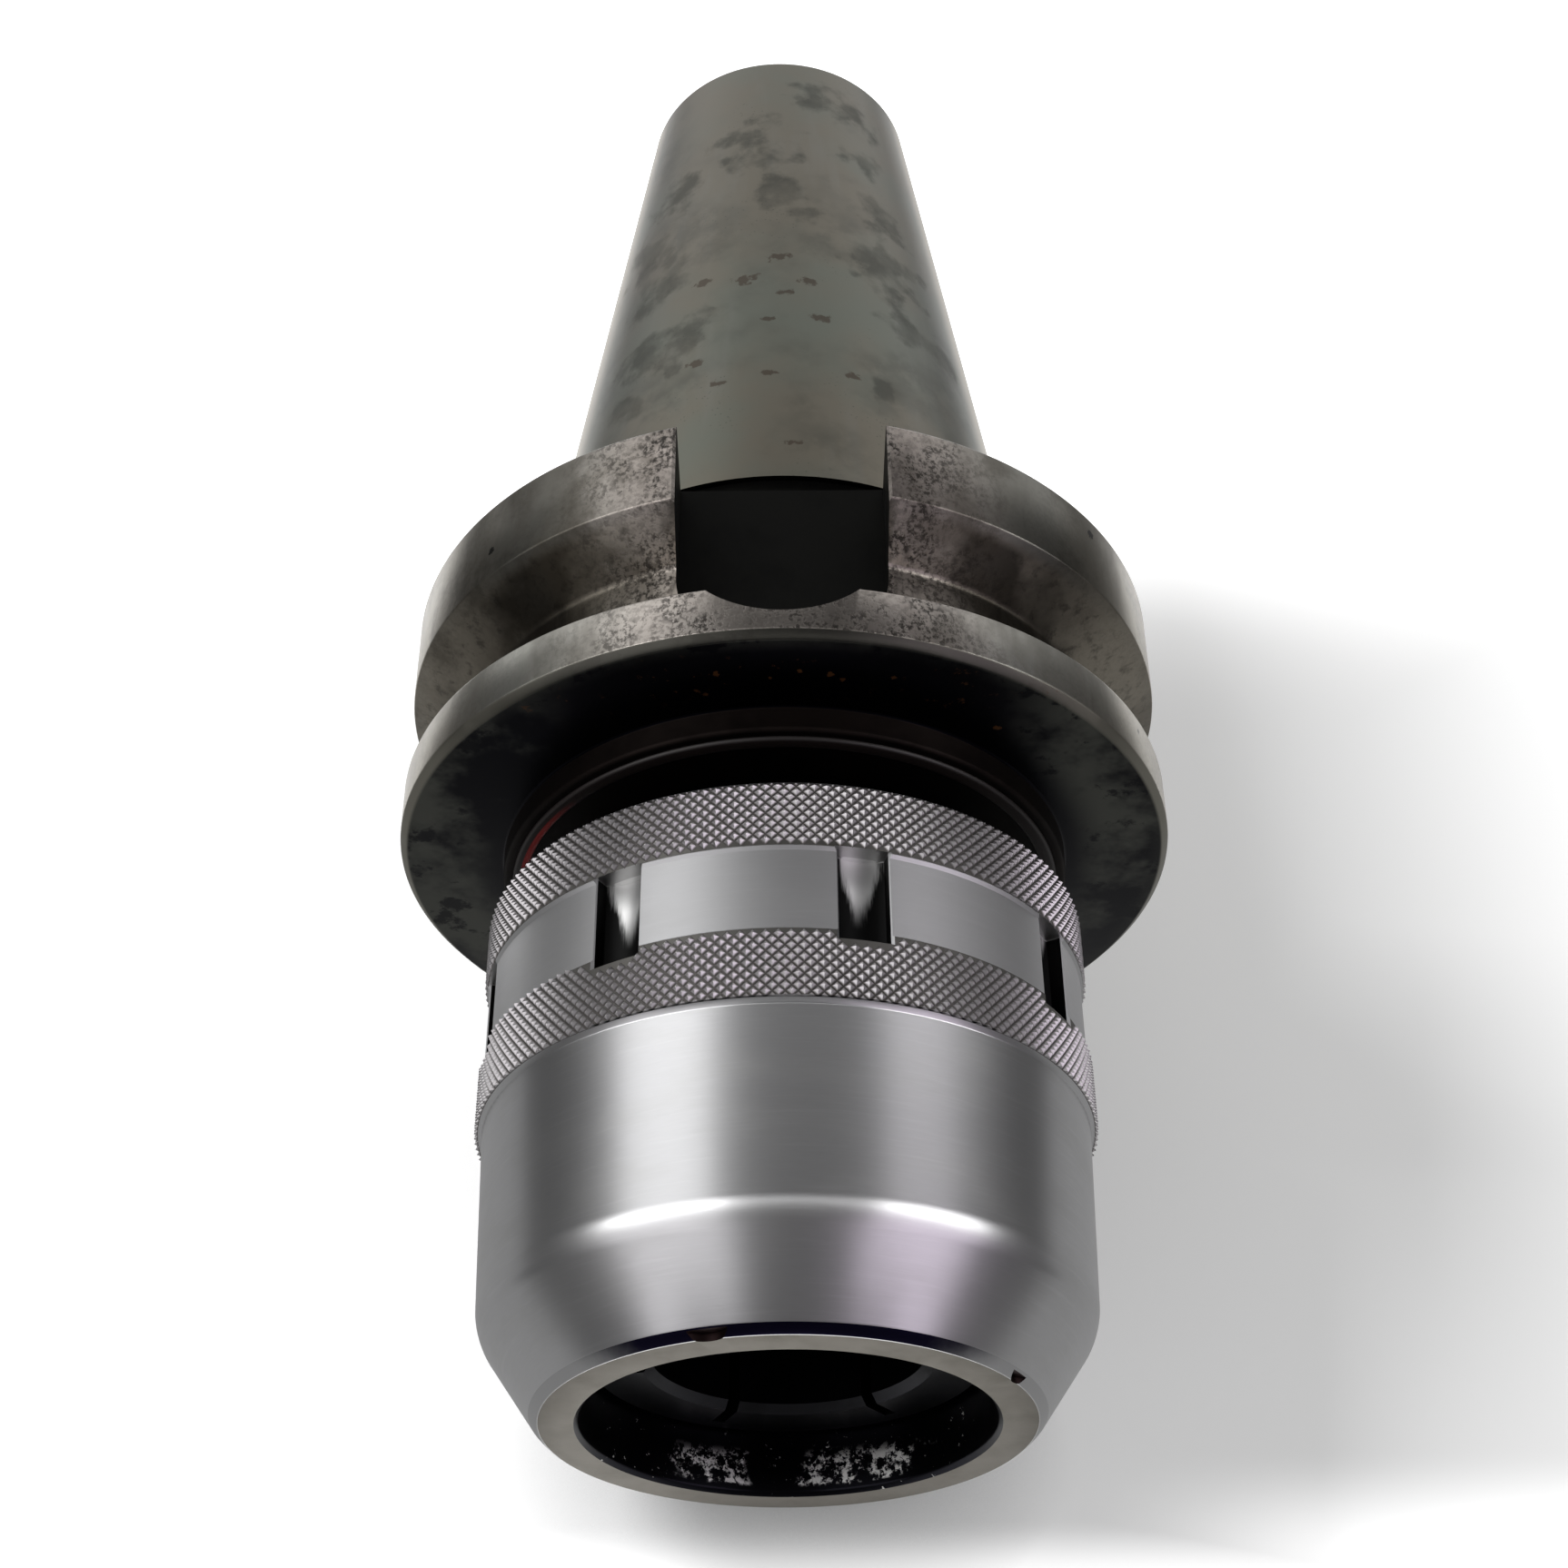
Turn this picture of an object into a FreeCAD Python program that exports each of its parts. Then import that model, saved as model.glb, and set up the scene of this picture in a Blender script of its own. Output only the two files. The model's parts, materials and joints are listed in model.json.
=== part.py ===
import FreeCAD, Part
import math
import os
from types import SimpleNamespace

import Sketcher

# Roller-lock milling chuck with a No. 50 steep taper.
# It stands on the nose of its clamping nut: the end face is at height 0,
# the taper points up along +Z, and one key slot faces the front, -Y.
# Lengths are millimetres, angles are degrees, and heights run along +Z.

SIZES = {
    # heights, from the end face of the nut upwards
    "nut_overhang": 7.7,
    "nut_length": 63.7,
    "nut_lead": 3.6,
    "nut_turns": 1.75,
    "tight_gap": 0.7,
    "boss_height": 3.5,
    "flange_thickness": 35.0,
    "neck_length": 3.0,
    "taper_length": 101.8,
    # steep taper, 7 in 24 on the diameter
    "gauge_radius": 34.925,
    "taper_end_break": 1.2,
    "neck_drop": 0.925,
    # flange with its gripper groove and key slots
    "flange_radius": 50.0,
    "flange_top_break": 1.2,
    "flange_bottom_break": 1.0,
    "vee_drop": 20.2,
    "vee_width": 15.0,
    "vee_depth": 7.5,
    "key_slot_width": 25.7,
    "key_slot_land": 3.65,
    "key_floor_step": 0.475,
    "key_slot_break": 0.5,
    # boss under the flange, with the seat of the red seal
    "boss_wall": 1.2,
    "boss_rim_break": 1.0,
    "seal_outer_radius": 35.3,
    "seal_width": 1.8,
    "seal_seat_depth": 2.0,
    "seal_proud": 0.5,
    "seal_edge_break": 0.4,
    # clamping sleeve of the arbor
    "bore_radius": 16.0,
    "bore_break": 1.0,
    "bore_depth": 95.0,
    "sleeve_wall": 7.4,
    "sleeve_edge_break": 0.6,
    "sleeve_neck_rise": 1.8,
    "slit_width": 1.5,
    "slit_cut": 5.0,
    "slit_length": 52.0,
    "slit_count": 6,
    "slit_angle": 54.0,
    # pull stud end and the passage through the arbor
    "pilot_radius": 12.5,
    "pilot_depth": 13.0,
    "pilot_break": 0.8,
    "tap_radius": 10.5,
    "tap_depth": 58.0,
    "drill_tip_length": 6.0,
    "passage_radius": 5.0,
    # needle rollers, their cage and the two races
    "race_taper": 32.0,
    "race_step": 0.2,
    "inner_play": 0.1,
    "outer_play": 0.2,
    "roller_diameter": 3.5,
    "rollers_per_row": 12,
    "roller_rows": 2,
    "cage_bar": 1.1,
    "window_play": 0.4,
    "cage_end_play": 0.3,
    "cage_inner_play": 0.6,
    "cage_outer_play": 0.7,
    # clamping nut
    "mouth_play": 0.35,
    "mouth_break": 0.5,
    "mouth_land": 2.1,
    "nose_face_width": 4.65,
    "nose_break": 1.0,
    "cone_length": 10.7,
    "ridge_reach": 1.8,
    "nut_wall": 9.9,
    "nut_front_drop": 1.3,
    "knurl_rise": 0.5,
    "plain_band_drop": 0.2,
    "front_knurl_length": 9.4,
    "plain_band_length": 10.2,
    "rear_knurl_length": 9.7,
    "nut_rear_break": 0.8,
    "counterbore_step": 1.2,
    "counterbore_depth": 3.9,
    "spanner_slot_count": 8,
    "spanner_slot_width": 6.0,
    "spanner_slot_front_reach": 1.3,
    "spanner_slot_rear_reach": 0.7,
    "spanner_slot_depth": 2.9,
    "spanner_slot_side_depth": 1.9,
    "spanner_slot_angle": 14.0,
    "nick_radius": 2.6,
    "nick_bite": 0.6,
    "nick_height": 1.6,
    "nick_angle": -16.7,
    "small_nick_radius": 1.6,
    "small_nick_bite": 0.3,
    "small_nick_height": 1.0,
    "small_nick_angle": 59.5,
    # rings that seal the nut and hold the cage
    "ring_play": 0.1,
    "wiper_start": 9.8,
    "wiper_thickness": 1.8,
    "wiper_bite": 1.55,
    "stop_ring_room": 2.4,
    "stop_ring_thickness": 1.5,
    "stop_ring_bite": 1.1,
    "stop_ring_rise": 1.5,
    "stop_ring_gap": 4.0,
    "retaining_ring_room": 0.7,
    "retaining_ring_thickness": 1.4,
    "retaining_ring_bite": 0.9,
    "retaining_ring_width": 3.1,
    "retaining_ring_gap": 9.0,
}


class Size:
    """A length with its value and the formula that ties it to the sheet."""

    def __init__(self, value, text):
        self.value = value
        self.text = text

    def join(self, other, sign, value):
        text = other.text if isinstance(other, Size) else repr(other)
        return Size(value, f"({self.text} {sign} {text})")

    def __add__(self, other):
        return self.join(other, "+", self.value + number(other))

    def __sub__(self, other):
        return self.join(other, "-", self.value - number(other))

    def __mul__(self, other):
        return self.join(other, "*", self.value * number(other))

    def __truediv__(self, other):
        return self.join(other, "/", self.value / number(other))

    def __neg__(self):
        return Size(-self.value, f"(-{self.text})")


def number(size):
    return size.value if isinstance(size, Size) else size


def root(size):
    return Size(math.sqrt(size.value), f"sqrt({size.text})")


def make_sheet(document):
    """Write the driving sizes into a sheet and return it."""
    sheet = document.addObject("Spreadsheet::Sheet", "Sizes")
    for row, (name, value) in enumerate(SIZES.items(), start=1):
        sheet.set(f"A{row}", name.replace("_", " "))
        sheet.set(f"B{row}", str(value))
        sheet.setAlias(f"B{row}", name)
    document.recompute()
    return sheet


def read_sheet(sheet):
    """Read every named cell back as a Size."""
    sizes = {name: Size(float(sheet.get(name)), f"Sizes.{name}") for name in SIZES}
    return SimpleNamespace(**sizes)


DOCUMENT = FreeCAD.newDocument("roller_lock_chuck")
S = read_sheet(make_sheet(DOCUMENT))

ZERO = Size(0.0, "0")

# the nut travels by its lead with every turn, and the flange starts past the end of that
NUT_TRAVEL = S.nut_lead * S.nut_turns
SLEEVE_FRONT = S.nut_overhang
BOSS_BOTTOM = S.nut_length + NUT_TRAVEL + S.tight_gap + S.seal_proud
FLANGE_BOTTOM = BOSS_BOTTOM + S.boss_height
FLANGE_TOP = FLANGE_BOTTOM + S.flange_thickness
GAUGE = FLANGE_TOP + S.neck_length
TAPER_TOP = GAUGE + S.taper_length

# heights inside the nut, with the cage between the stop ring and the counterbore
MOUTH_LENGTH = S.wiper_start + S.wiper_thickness + S.mouth_land
STOP_RING_START = MOUTH_LENGTH + NUT_TRAVEL + S.stop_ring_room
CAGE_START = STOP_RING_START + S.stop_ring_thickness + S.cage_end_play
COUNTERBORE_FLOOR = S.nut_length - S.counterbore_depth
CAGE_LENGTH = COUNTERBORE_FLOOR - CAGE_START
ROW_PITCH = (CAGE_LENGTH - S.cage_bar) / S.roller_rows
WINDOW_LENGTH = ROW_PITCH - S.cage_bar
ROLLER_LENGTH = WINDOW_LENGTH - S.window_play

# radii from the bore outwards, by way of the rollers to the outside of the nut
SLEEVE_RADIUS = S.bore_radius + S.sleeve_wall
RACE_INNER_RADIUS = SLEEVE_RADIUS + S.race_step
RACE_OUTER_RADIUS = RACE_INNER_RADIUS + S.inner_play + S.roller_diameter + S.outer_play
MOUTH_RADIUS = SLEEVE_RADIUS + S.mouth_play
NOSE_FACE_RADIUS = MOUTH_RADIUS + S.nose_face_width
WIPER_OUTER_RADIUS = MOUTH_RADIUS + S.wiper_bite
COUNTERBORE_RADIUS = RACE_OUTER_RADIUS + S.counterbore_step
KNURL_RADIUS = RACE_OUTER_RADIUS + S.nut_wall
BOSS_RADIUS = S.seal_outer_radius + S.boss_wall

# both races widen towards the flange
RACE_SLOPE = Size(1.0, "1") / (S.race_taper * 2)

# the rollers lean so that one turn of the nut moves it by its lead
ROLLER_LEAN = S.nut_lead / (RACE_OUTER_RADIUS * (2 * math.pi))
LEAN_LENGTH = root(ROLLER_LEAN * ROLLER_LEAN + 1)
# seen from outside with the taper up, the top of a roller leans to the left
LEAN_SIDE = -1


def inner_race(height):
    return RACE_INNER_RADIUS + (height - CAGE_START) * RACE_SLOPE


def outer_race(height):
    return RACE_OUTER_RADIUS + (height - CAGE_START) * RACE_SLOPE


def new_body(name):
    body = DOCUMENT.addObject("PartDesign::Body", name)
    body.Label = name
    return body


def new_sketch(body, name, role, lift=None, turn=None):
    """Start a sketch on one of the body's own planes, lifted along its normal or turned."""
    sketch = body.newObject("Sketcher::SketchObject", name)
    plane = next(item for item in body.Origin.OriginFeatures if item.Role == role)
    sketch.AttachmentSupport = (plane, "")
    sketch.MapMode = "FlatFace"
    if lift is not None:
        sketch.setExpression("AttachmentOffset.Base.z", lift.text)
    if turn is not None:
        axis = FreeCAD.Vector(0, 1, 0) if role == "XZ_Plane" else FreeCAD.Vector(0, 0, 1)
        offset = FreeCAD.Placement(sketch.AttachmentOffset)
        offset.Rotation = FreeCAD.Rotation(axis, turn.value)
        sketch.AttachmentOffset = offset
        sketch.setExpression("AttachmentOffset.Rotation.Angle", turn.text)
    return sketch


def fix(sketch, kind, geometry, place, size):
    """Hold one coordinate of a point at a size from the sheet."""
    index = sketch.addConstraint(Sketcher.Constraint(kind, -1, 1, geometry, place, size.value))
    sketch.setExpression(f"Constraints[{index}]", size.text)


def draw_outline(sketch, corners, arcs=None):
    """Draw a closed outline through the corners.

    arcs names the sides that are arcs, by the number of the corner they leave,
    with the height of the arc's centre; such a side runs anticlockwise about it.
    """
    arcs = arcs or {}
    points = [FreeCAD.Vector(across.value, up.value, 0) for across, up in corners]
    for index, start in enumerate(points):
        end = points[(index + 1) % len(points)]
        if index in arcs:
            centre = FreeCAD.Vector((start.x + end.x) / 2, arcs[index].value, 0)
            circle = Part.Circle(centre, FreeCAD.Vector(0, 0, 1), start.distanceToPoint(centre))
            first = math.atan2(start.y - centre.y, start.x - centre.x)
            last = math.atan2(end.y - centre.y, end.x - centre.x)
            sketch.addGeometry(Part.ArcOfCircle(circle, first, last), False)
        else:
            sketch.addGeometry(Part.LineSegment(start, end), False)
    for index, (across, up) in enumerate(corners):
        following = (index + 1) % len(points)
        sketch.addConstraint(Sketcher.Constraint("Coincident", index, 2, following, 1))
        if across is ZERO:
            sketch.addConstraint(Sketcher.Constraint("PointOnObject", index, 1, -2))
        else:
            fix(sketch, "DistanceX", index, 1, across)
        if up is ZERO:
            sketch.addConstraint(Sketcher.Constraint("PointOnObject", index, 1, -1))
        else:
            fix(sketch, "DistanceY", index, 1, up)
    for index, centre_height in arcs.items():
        fix(sketch, "DistanceY", index, 3, centre_height)


def draw_circle(sketch, across, up, radius):
    centre = FreeCAD.Vector(across.value, up.value, 0)
    sketch.addGeometry(Part.Circle(centre, FreeCAD.Vector(0, 0, 1), radius.value), False)
    fix(sketch, "DistanceX", 0, 3, across)
    fix(sketch, "DistanceY", 0, 3, up)
    index = sketch.addConstraint(Sketcher.Constraint("Radius", 0, radius.value))
    sketch.setExpression(f"Constraints[{index}]", radius.text)


def turned(body, name, corners, feature="PartDesign::Revolution"):
    """Turn a half section about the axis, to add it or with a groove to cut it away."""
    sketch = new_sketch(body, f"{name}_section", "XZ_Plane")
    draw_outline(sketch, corners)
    turning = body.newObject(feature, name)
    turning.Profile = sketch
    turning.ReferenceAxis = (sketch, ["V_Axis"])
    turning.Angle = 360
    finish_step(body, turning, removes=feature.endswith("Groove"))
    return turning


def cut_pocket(body, name, sketch, length, towards_normal=False):
    """Cut the sketched shape away over a length, or right out of the body."""
    pocket = body.newObject("PartDesign::Pocket", name)
    pocket.Profile = sketch
    pocket.Reversed = towards_normal
    if length is None:
        pocket.Type = "ThroughAll"
    else:
        pocket.Length = length.value
        pocket.setExpression("Length", length.text)
    finish_step(body, pocket, removes=True)
    return pocket


def repeat_round(body, name, feature, count):
    """Repeat a cut evenly about the axis."""
    pattern = body.newObject("PartDesign::PolarPattern", name)
    pattern.Originals = [feature]
    axis = next(item for item in body.Origin.OriginFeatures if item.Role == "Z_Axis")
    pattern.Axis = (axis, [""])
    pattern.Angle = 360
    pattern.Occurrences = int(number(count))
    if isinstance(count, Size):
        pattern.setExpression("Occurrences", count.text)
    finish_step(body, pattern, removes=True)
    return pattern


def finish_step(body, feature, removes):
    """Make the feature the body's tip, and see that it changed the volume the right way."""
    before = body.Shape.Volume if removes else 0.0
    body.Tip = feature
    DOCUMENT.recompute()
    after = body.Shape.Volume
    if removes and not after < before - 1e-3:
        raise SystemExit(f"{feature.Name} cut nothing")
    if not removes and not after > 0:
        raise SystemExit(f"{feature.Name} made nothing")


def dress(body, name, kind, edges, size_property, size):
    """Round or chamfer the named edges of the body."""
    base = body.Tip
    step = body.newObject(kind, name)
    step.Base = (base, edges)
    setattr(step, size_property, size.value)
    step.setExpression(size_property, size.text)
    body.Tip = step
    DOCUMENT.recompute()


def key_slot_edges(body):
    """Names of the edges where the key slots meet the lands of the flange."""
    names = []
    half_width = S.key_slot_width.value / 2
    land_break = max(S.flange_top_break.value, S.flange_bottom_break.value)
    for index, edge in enumerate(body.Shape.Edges, start=1):
        ends = [vertex.Point for vertex in edge.Vertexes]
        if len(ends) < 2:
            continue
        on_land = all(abs(math.hypot(p.x, p.y) - S.flange_radius.value) < 1e-3 for p in ends)
        on_wall = all(abs(abs(p.x) - half_width) < 1e-3 for p in ends)
        tall = edge.BoundBox.ZMax - edge.BoundBox.ZMin > land_break
        if on_land and on_wall and tall:
            names.append(f"Edge{index}")
    return names


def make_arbor():
    """Taper, flange, boss and slit clamping sleeve, turned from one piece of steel."""
    body = new_body("arbor")
    end_radius = S.gauge_radius - S.taper_length * 7 / 48
    end_break = S.taper_end_break
    race_end = COUNTERBORE_FLOOR + S.cage_bar
    sleeve_neck_radius = RACE_INNER_RADIUS + S.sleeve_neck_rise
    neck_radius = S.gauge_radius - S.neck_drop
    turned(body, "arbor_blank", [
        (ZERO, SLEEVE_FRONT),
        (SLEEVE_RADIUS - S.sleeve_edge_break, SLEEVE_FRONT),
        (SLEEVE_RADIUS, SLEEVE_FRONT + S.sleeve_edge_break),
        (SLEEVE_RADIUS, CAGE_START),
        (RACE_INNER_RADIUS, CAGE_START),
        (inner_race(race_end), race_end),
        (sleeve_neck_radius, race_end),
        (sleeve_neck_radius, BOSS_BOTTOM),
        (BOSS_RADIUS - S.boss_rim_break, BOSS_BOTTOM),
        (BOSS_RADIUS, BOSS_BOTTOM + S.boss_rim_break),
        (BOSS_RADIUS, FLANGE_BOTTOM),
        (S.flange_radius - S.flange_bottom_break, FLANGE_BOTTOM),
        (S.flange_radius, FLANGE_BOTTOM + S.flange_bottom_break),
        (S.flange_radius, FLANGE_TOP - S.flange_top_break),
        (S.flange_radius - S.flange_top_break, FLANGE_TOP),
        (neck_radius, FLANGE_TOP),
        (neck_radius, GAUGE),
        (S.gauge_radius, GAUGE),
        (end_radius + end_break * 7 / 48, TAPER_TOP - end_break),
        (end_radius - end_break, TAPER_TOP),
        (ZERO, TAPER_TOP),
    ])

    vee_middle = FLANGE_TOP - S.vee_drop
    vee_floor_radius = S.flange_radius - S.vee_depth
    vee_floor_half = S.vee_width / 2 - S.vee_depth * math.tan(math.radians(30))
    past_rim = Size(2.0, "2")
    rim_half = S.vee_width / 2 + past_rim * math.tan(math.radians(30))
    turned(body, "gripper_groove", [
        (vee_floor_radius, vee_middle - vee_floor_half),
        (S.flange_radius + past_rim, vee_middle - rim_half),
        (S.flange_radius + past_rim, vee_middle + rim_half),
        (vee_floor_radius, vee_middle + vee_floor_half),
    ], "PartDesign::Groove")

    bore_end = SLEEVE_FRONT + S.bore_depth
    below = SLEEVE_FRONT - S.bore_break
    tap_end = TAPER_TOP - S.tap_depth
    above = TAPER_TOP + S.pilot_break
    turned(body, "tool_bore", [
        (ZERO, below),
        (S.bore_radius + S.bore_break * 2, below),
        (S.bore_radius, SLEEVE_FRONT + S.bore_break),
        (S.bore_radius, bore_end),
        (S.passage_radius, bore_end),
        (S.passage_radius, tap_end - S.drill_tip_length),
        (S.tap_radius, tap_end),
        (S.tap_radius, TAPER_TOP - S.pilot_depth),
        (S.pilot_radius, TAPER_TOP - S.pilot_depth),
        (S.pilot_radius, TAPER_TOP - S.pilot_break),
        (S.pilot_radius + S.pilot_break * 2, above),
        (ZERO, above),
    ], "PartDesign::Groove")

    turned(body, "seal_seat", [
        (S.seal_outer_radius - S.seal_width, BOSS_BOTTOM - 1),
        (S.seal_outer_radius, BOSS_BOTTOM - 1),
        (S.seal_outer_radius, BOSS_BOTTOM + S.seal_seat_depth),
        (S.seal_outer_radius - S.seal_width, BOSS_BOTTOM + S.seal_seat_depth),
    ], "PartDesign::Groove")

    turned(body, "stop_ring_groove", [
        (SLEEVE_RADIUS - S.stop_ring_bite, STOP_RING_START),
        (SLEEVE_RADIUS + 1, STOP_RING_START),
        (SLEEVE_RADIUS + 1, STOP_RING_START + S.stop_ring_thickness),
        (SLEEVE_RADIUS - S.stop_ring_bite, STOP_RING_START + S.stop_ring_thickness),
    ], "PartDesign::Groove")

    slit_plan = new_sketch(body, "slit_plan", "XY_Plane", SLEEVE_FRONT, S.slit_angle)
    draw_outline(slit_plan, [
        (S.bore_radius / 2, -S.slit_width / 2),
        (S.bore_radius + S.slit_cut, -S.slit_width / 2),
        (S.bore_radius + S.slit_cut, S.slit_width / 2),
        (S.bore_radius / 2, S.slit_width / 2),
    ])
    slit = cut_pocket(body, "sleeve_slit", slit_plan, S.slit_length, towards_normal=True)
    repeat_round(body, "sleeve_slits", slit, S.slit_count)

    half_width = S.key_slot_width / 2
    arc_height = FLANGE_BOTTOM + S.key_slot_land + half_width
    key_floor_radius = S.gauge_radius + S.key_floor_step
    key_view = new_sketch(body, "key_slot_view", "XZ_Plane", key_floor_radius)
    draw_outline(key_view, [
        (-half_width, arc_height),
        (half_width, arc_height),
        (half_width, GAUGE - S.neck_length / 2),
        (-half_width, GAUGE - S.neck_length / 2),
    ], arcs={0: arc_height})
    slot = cut_pocket(body, "key_slot", key_view, None, towards_normal=True)
    repeat_round(body, "key_slots", slot, 2)
    dress(body, "key_slot_edges", "PartDesign::Chamfer",
          key_slot_edges(body), "Size", S.key_slot_break)
    return body


def make_rear_seal():
    """Red seal pressed into the underside of the boss, standing slightly proud."""
    body = new_body("rear_seal_ring")
    low = BOSS_BOTTOM - S.seal_proud
    inner = S.seal_outer_radius - S.seal_width
    edge = S.seal_edge_break
    turned(body, "seal_section", [
        (inner, low),
        (S.seal_outer_radius - edge, low),
        (S.seal_outer_radius, low + edge),
        (S.seal_outer_radius, BOSS_BOTTOM + S.seal_seat_depth),
        (inner, BOSS_BOTTOM + S.seal_seat_depth),
    ])
    return body


def make_snap_ring(name, inner, outer, low, thickness, gap):
    """Flat spring ring, open at the back."""
    body = new_body(name)
    turned(body, f"{name}_blank", [
        (inner, low),
        (outer, low),
        (outer, low + thickness),
        (inner, low + thickness),
    ])
    opening = new_sketch(body, f"{name}_gap_plan", "XY_Plane", low - 1)
    draw_outline(opening, [
        (-gap / 2, inner - 2),
        (gap / 2, inner - 2),
        (gap / 2, outer + 2),
        (-gap / 2, outer + 2),
    ])
    cut_pocket(body, f"{name}_gap", opening, thickness + 2, towards_normal=True)
    return body


def make_wiper():
    """Rubber ring in the mouth of the nut that wipes the sleeve."""
    body = new_body("front_wiper_ring")
    inner = SLEEVE_RADIUS + S.ring_play
    turned(body, "wiper_section", [
        (inner, S.wiper_start),
        (WIPER_OUTER_RADIUS, S.wiper_start),
        (WIPER_OUTER_RADIUS, S.wiper_start + S.wiper_thickness),
        (inner, S.wiper_start + S.wiper_thickness),
    ])
    return body


def make_nut():
    """Clamping nut: knurled rear, spanner slots, cone nose and tapered race inside."""
    body = new_body("clamping_nut")
    front_radius = KNURL_RADIUS - S.nut_front_drop
    body_radius = KNURL_RADIUS - S.knurl_rise
    band_radius = KNURL_RADIUS - S.plain_band_drop
    band_end = S.nut_length - S.rear_knurl_length
    band_start = band_end - S.plain_band_length
    knurl_start = band_start - S.front_knurl_length
    cone_foot = NOSE_FACE_RADIUS + S.nose_break
    cone_slope = (front_radius - cone_foot) / (S.cone_length - S.nose_break)
    turned(body, "nut_blank", [
        (MOUTH_RADIUS + S.mouth_break, ZERO),
        (NOSE_FACE_RADIUS, ZERO),
        (cone_foot, S.nose_break),
        (front_radius - cone_slope * S.ridge_reach, S.cone_length - S.ridge_reach),
        (front_radius, S.cone_length + S.ridge_reach),
        (body_radius, knurl_start),
        (KNURL_RADIUS, knurl_start + S.knurl_rise),
        (KNURL_RADIUS, band_start - S.plain_band_drop),
        (band_radius, band_start),
        (band_radius, band_end),
        (KNURL_RADIUS, band_end + S.plain_band_drop),
        (KNURL_RADIUS, S.nut_length - S.nut_rear_break),
        (KNURL_RADIUS - S.nut_rear_break, S.nut_length),
        (COUNTERBORE_RADIUS, S.nut_length),
        (COUNTERBORE_RADIUS, COUNTERBORE_FLOOR),
        (outer_race(COUNTERBORE_FLOOR), COUNTERBORE_FLOOR),
        (outer_race(MOUTH_LENGTH), MOUTH_LENGTH),
        (MOUTH_RADIUS, MOUTH_LENGTH),
        (MOUTH_RADIUS, S.mouth_break),
    ])
    wiper_top = S.wiper_start + S.wiper_thickness
    turned(body, "wiper_seat", [
        (MOUTH_RADIUS - 1, S.wiper_start - S.ring_play),
        (WIPER_OUTER_RADIUS + S.ring_play * 2, S.wiper_start - S.ring_play),
        (WIPER_OUTER_RADIUS + S.ring_play * 2, wiper_top + S.ring_play),
        (MOUTH_RADIUS - 1, wiper_top + S.ring_play),
    ], "PartDesign::Groove")
    ring_low = COUNTERBORE_FLOOR + S.retaining_ring_room
    ring_top = ring_low + S.retaining_ring_thickness
    turned(body, "retaining_ring_groove", [
        (COUNTERBORE_RADIUS - 1, ring_low),
        (COUNTERBORE_RADIUS + S.retaining_ring_bite, ring_low),
        (COUNTERBORE_RADIUS + S.retaining_ring_bite, ring_top),
        (COUNTERBORE_RADIUS - 1, ring_top),
    ], "PartDesign::Groove")

    half_width = S.spanner_slot_width / 2
    side_floor = root(band_radius * band_radius - half_width * half_width) - S.spanner_slot_side_depth
    floor_radius = band_radius - S.spanner_slot_depth
    dish = side_floor - floor_radius
    dish_radius = (half_width * half_width + dish * dish) / (dish * 2)
    slot_plan = new_sketch(body, "spanner_slot_plan", "XY_Plane",
                           band_start - S.spanner_slot_front_reach, S.spanner_slot_angle)
    draw_outline(slot_plan, [
        (half_width, -KNURL_RADIUS - 2),
        (half_width, -side_floor),
        (-half_width, -side_floor),
        (-half_width, -KNURL_RADIUS - 2),
    ], arcs={1: -(floor_radius + dish_radius)})
    slot_length = S.plain_band_length + S.spanner_slot_front_reach + S.spanner_slot_rear_reach
    slot = cut_pocket(body, "spanner_slot", slot_plan, slot_length, towards_normal=True)
    repeat_round(body, "spanner_slots", slot, S.spanner_slot_count)

    nicks = [
        ("nose_nick", S.nick_radius, S.nick_bite, S.nick_height, S.nick_angle),
        ("small_nose_nick", S.small_nick_radius, S.small_nick_bite,
         S.small_nick_height, S.small_nick_angle),
    ]
    for name, radius, bite, height, angle in nicks:
        plan = new_sketch(body, f"{name}_plan", "XY_Plane", ZERO, angle)
        draw_circle(plan, Size(0.0, "0"), bite - NOSE_FACE_RADIUS - radius, radius)
        cut_pocket(body, name, plan, height, towards_normal=True)
    return body


def row_height(row):
    """Height of the middle of a row of rollers."""
    return CAGE_START + S.cage_bar + WINDOW_LENGTH / 2 + ROW_PITCH * row


def row_angle(row):
    """Each row is set round by a part of the pitch, so that the windows are staggered."""
    return Size(360.0, "360") / S.rollers_per_row / S.roller_rows * row


def make_cage():
    """Thin conical cage with a leaning window for each needle roller."""
    body = new_body("roller_cage")
    low_inner = RACE_INNER_RADIUS + S.cage_inner_play
    low_outer = RACE_OUTER_RADIUS - S.cage_outer_play
    widening = CAGE_LENGTH * RACE_SLOPE
    turned(body, "cage_blank", [
        (low_inner, CAGE_START),
        (low_outer, CAGE_START),
        (low_outer + widening, COUNTERBORE_FLOOR),
        (low_inner + widening, COUNTERBORE_FLOOR),
    ])
    half_width = (S.roller_diameter + S.window_play) / 2
    half_length = WINDOW_LENGTH / 2
    for row in range(int(S.roller_rows.value)):
        middle = row_height(row)
        view = new_sketch(body, f"window_view_{row + 1}", "XZ_Plane", turn=row_angle(row))
        corners = []
        for side, end in ((-1, -1), (1, -1), (1, 1), (-1, 1)):
            across = (half_width * side + half_length * end * ROLLER_LEAN * LEAN_SIDE) / LEAN_LENGTH
            up = (half_length * end - half_width * side * ROLLER_LEAN * LEAN_SIDE) / LEAN_LENGTH
            corners.append((across, middle + up))
        draw_outline(view, corners)
        window = cut_pocket(body, f"window_{row + 1}", view, None, towards_normal=True)
        repeat_round(body, f"windows_{row + 1}", window, S.rollers_per_row)
    return body


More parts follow.
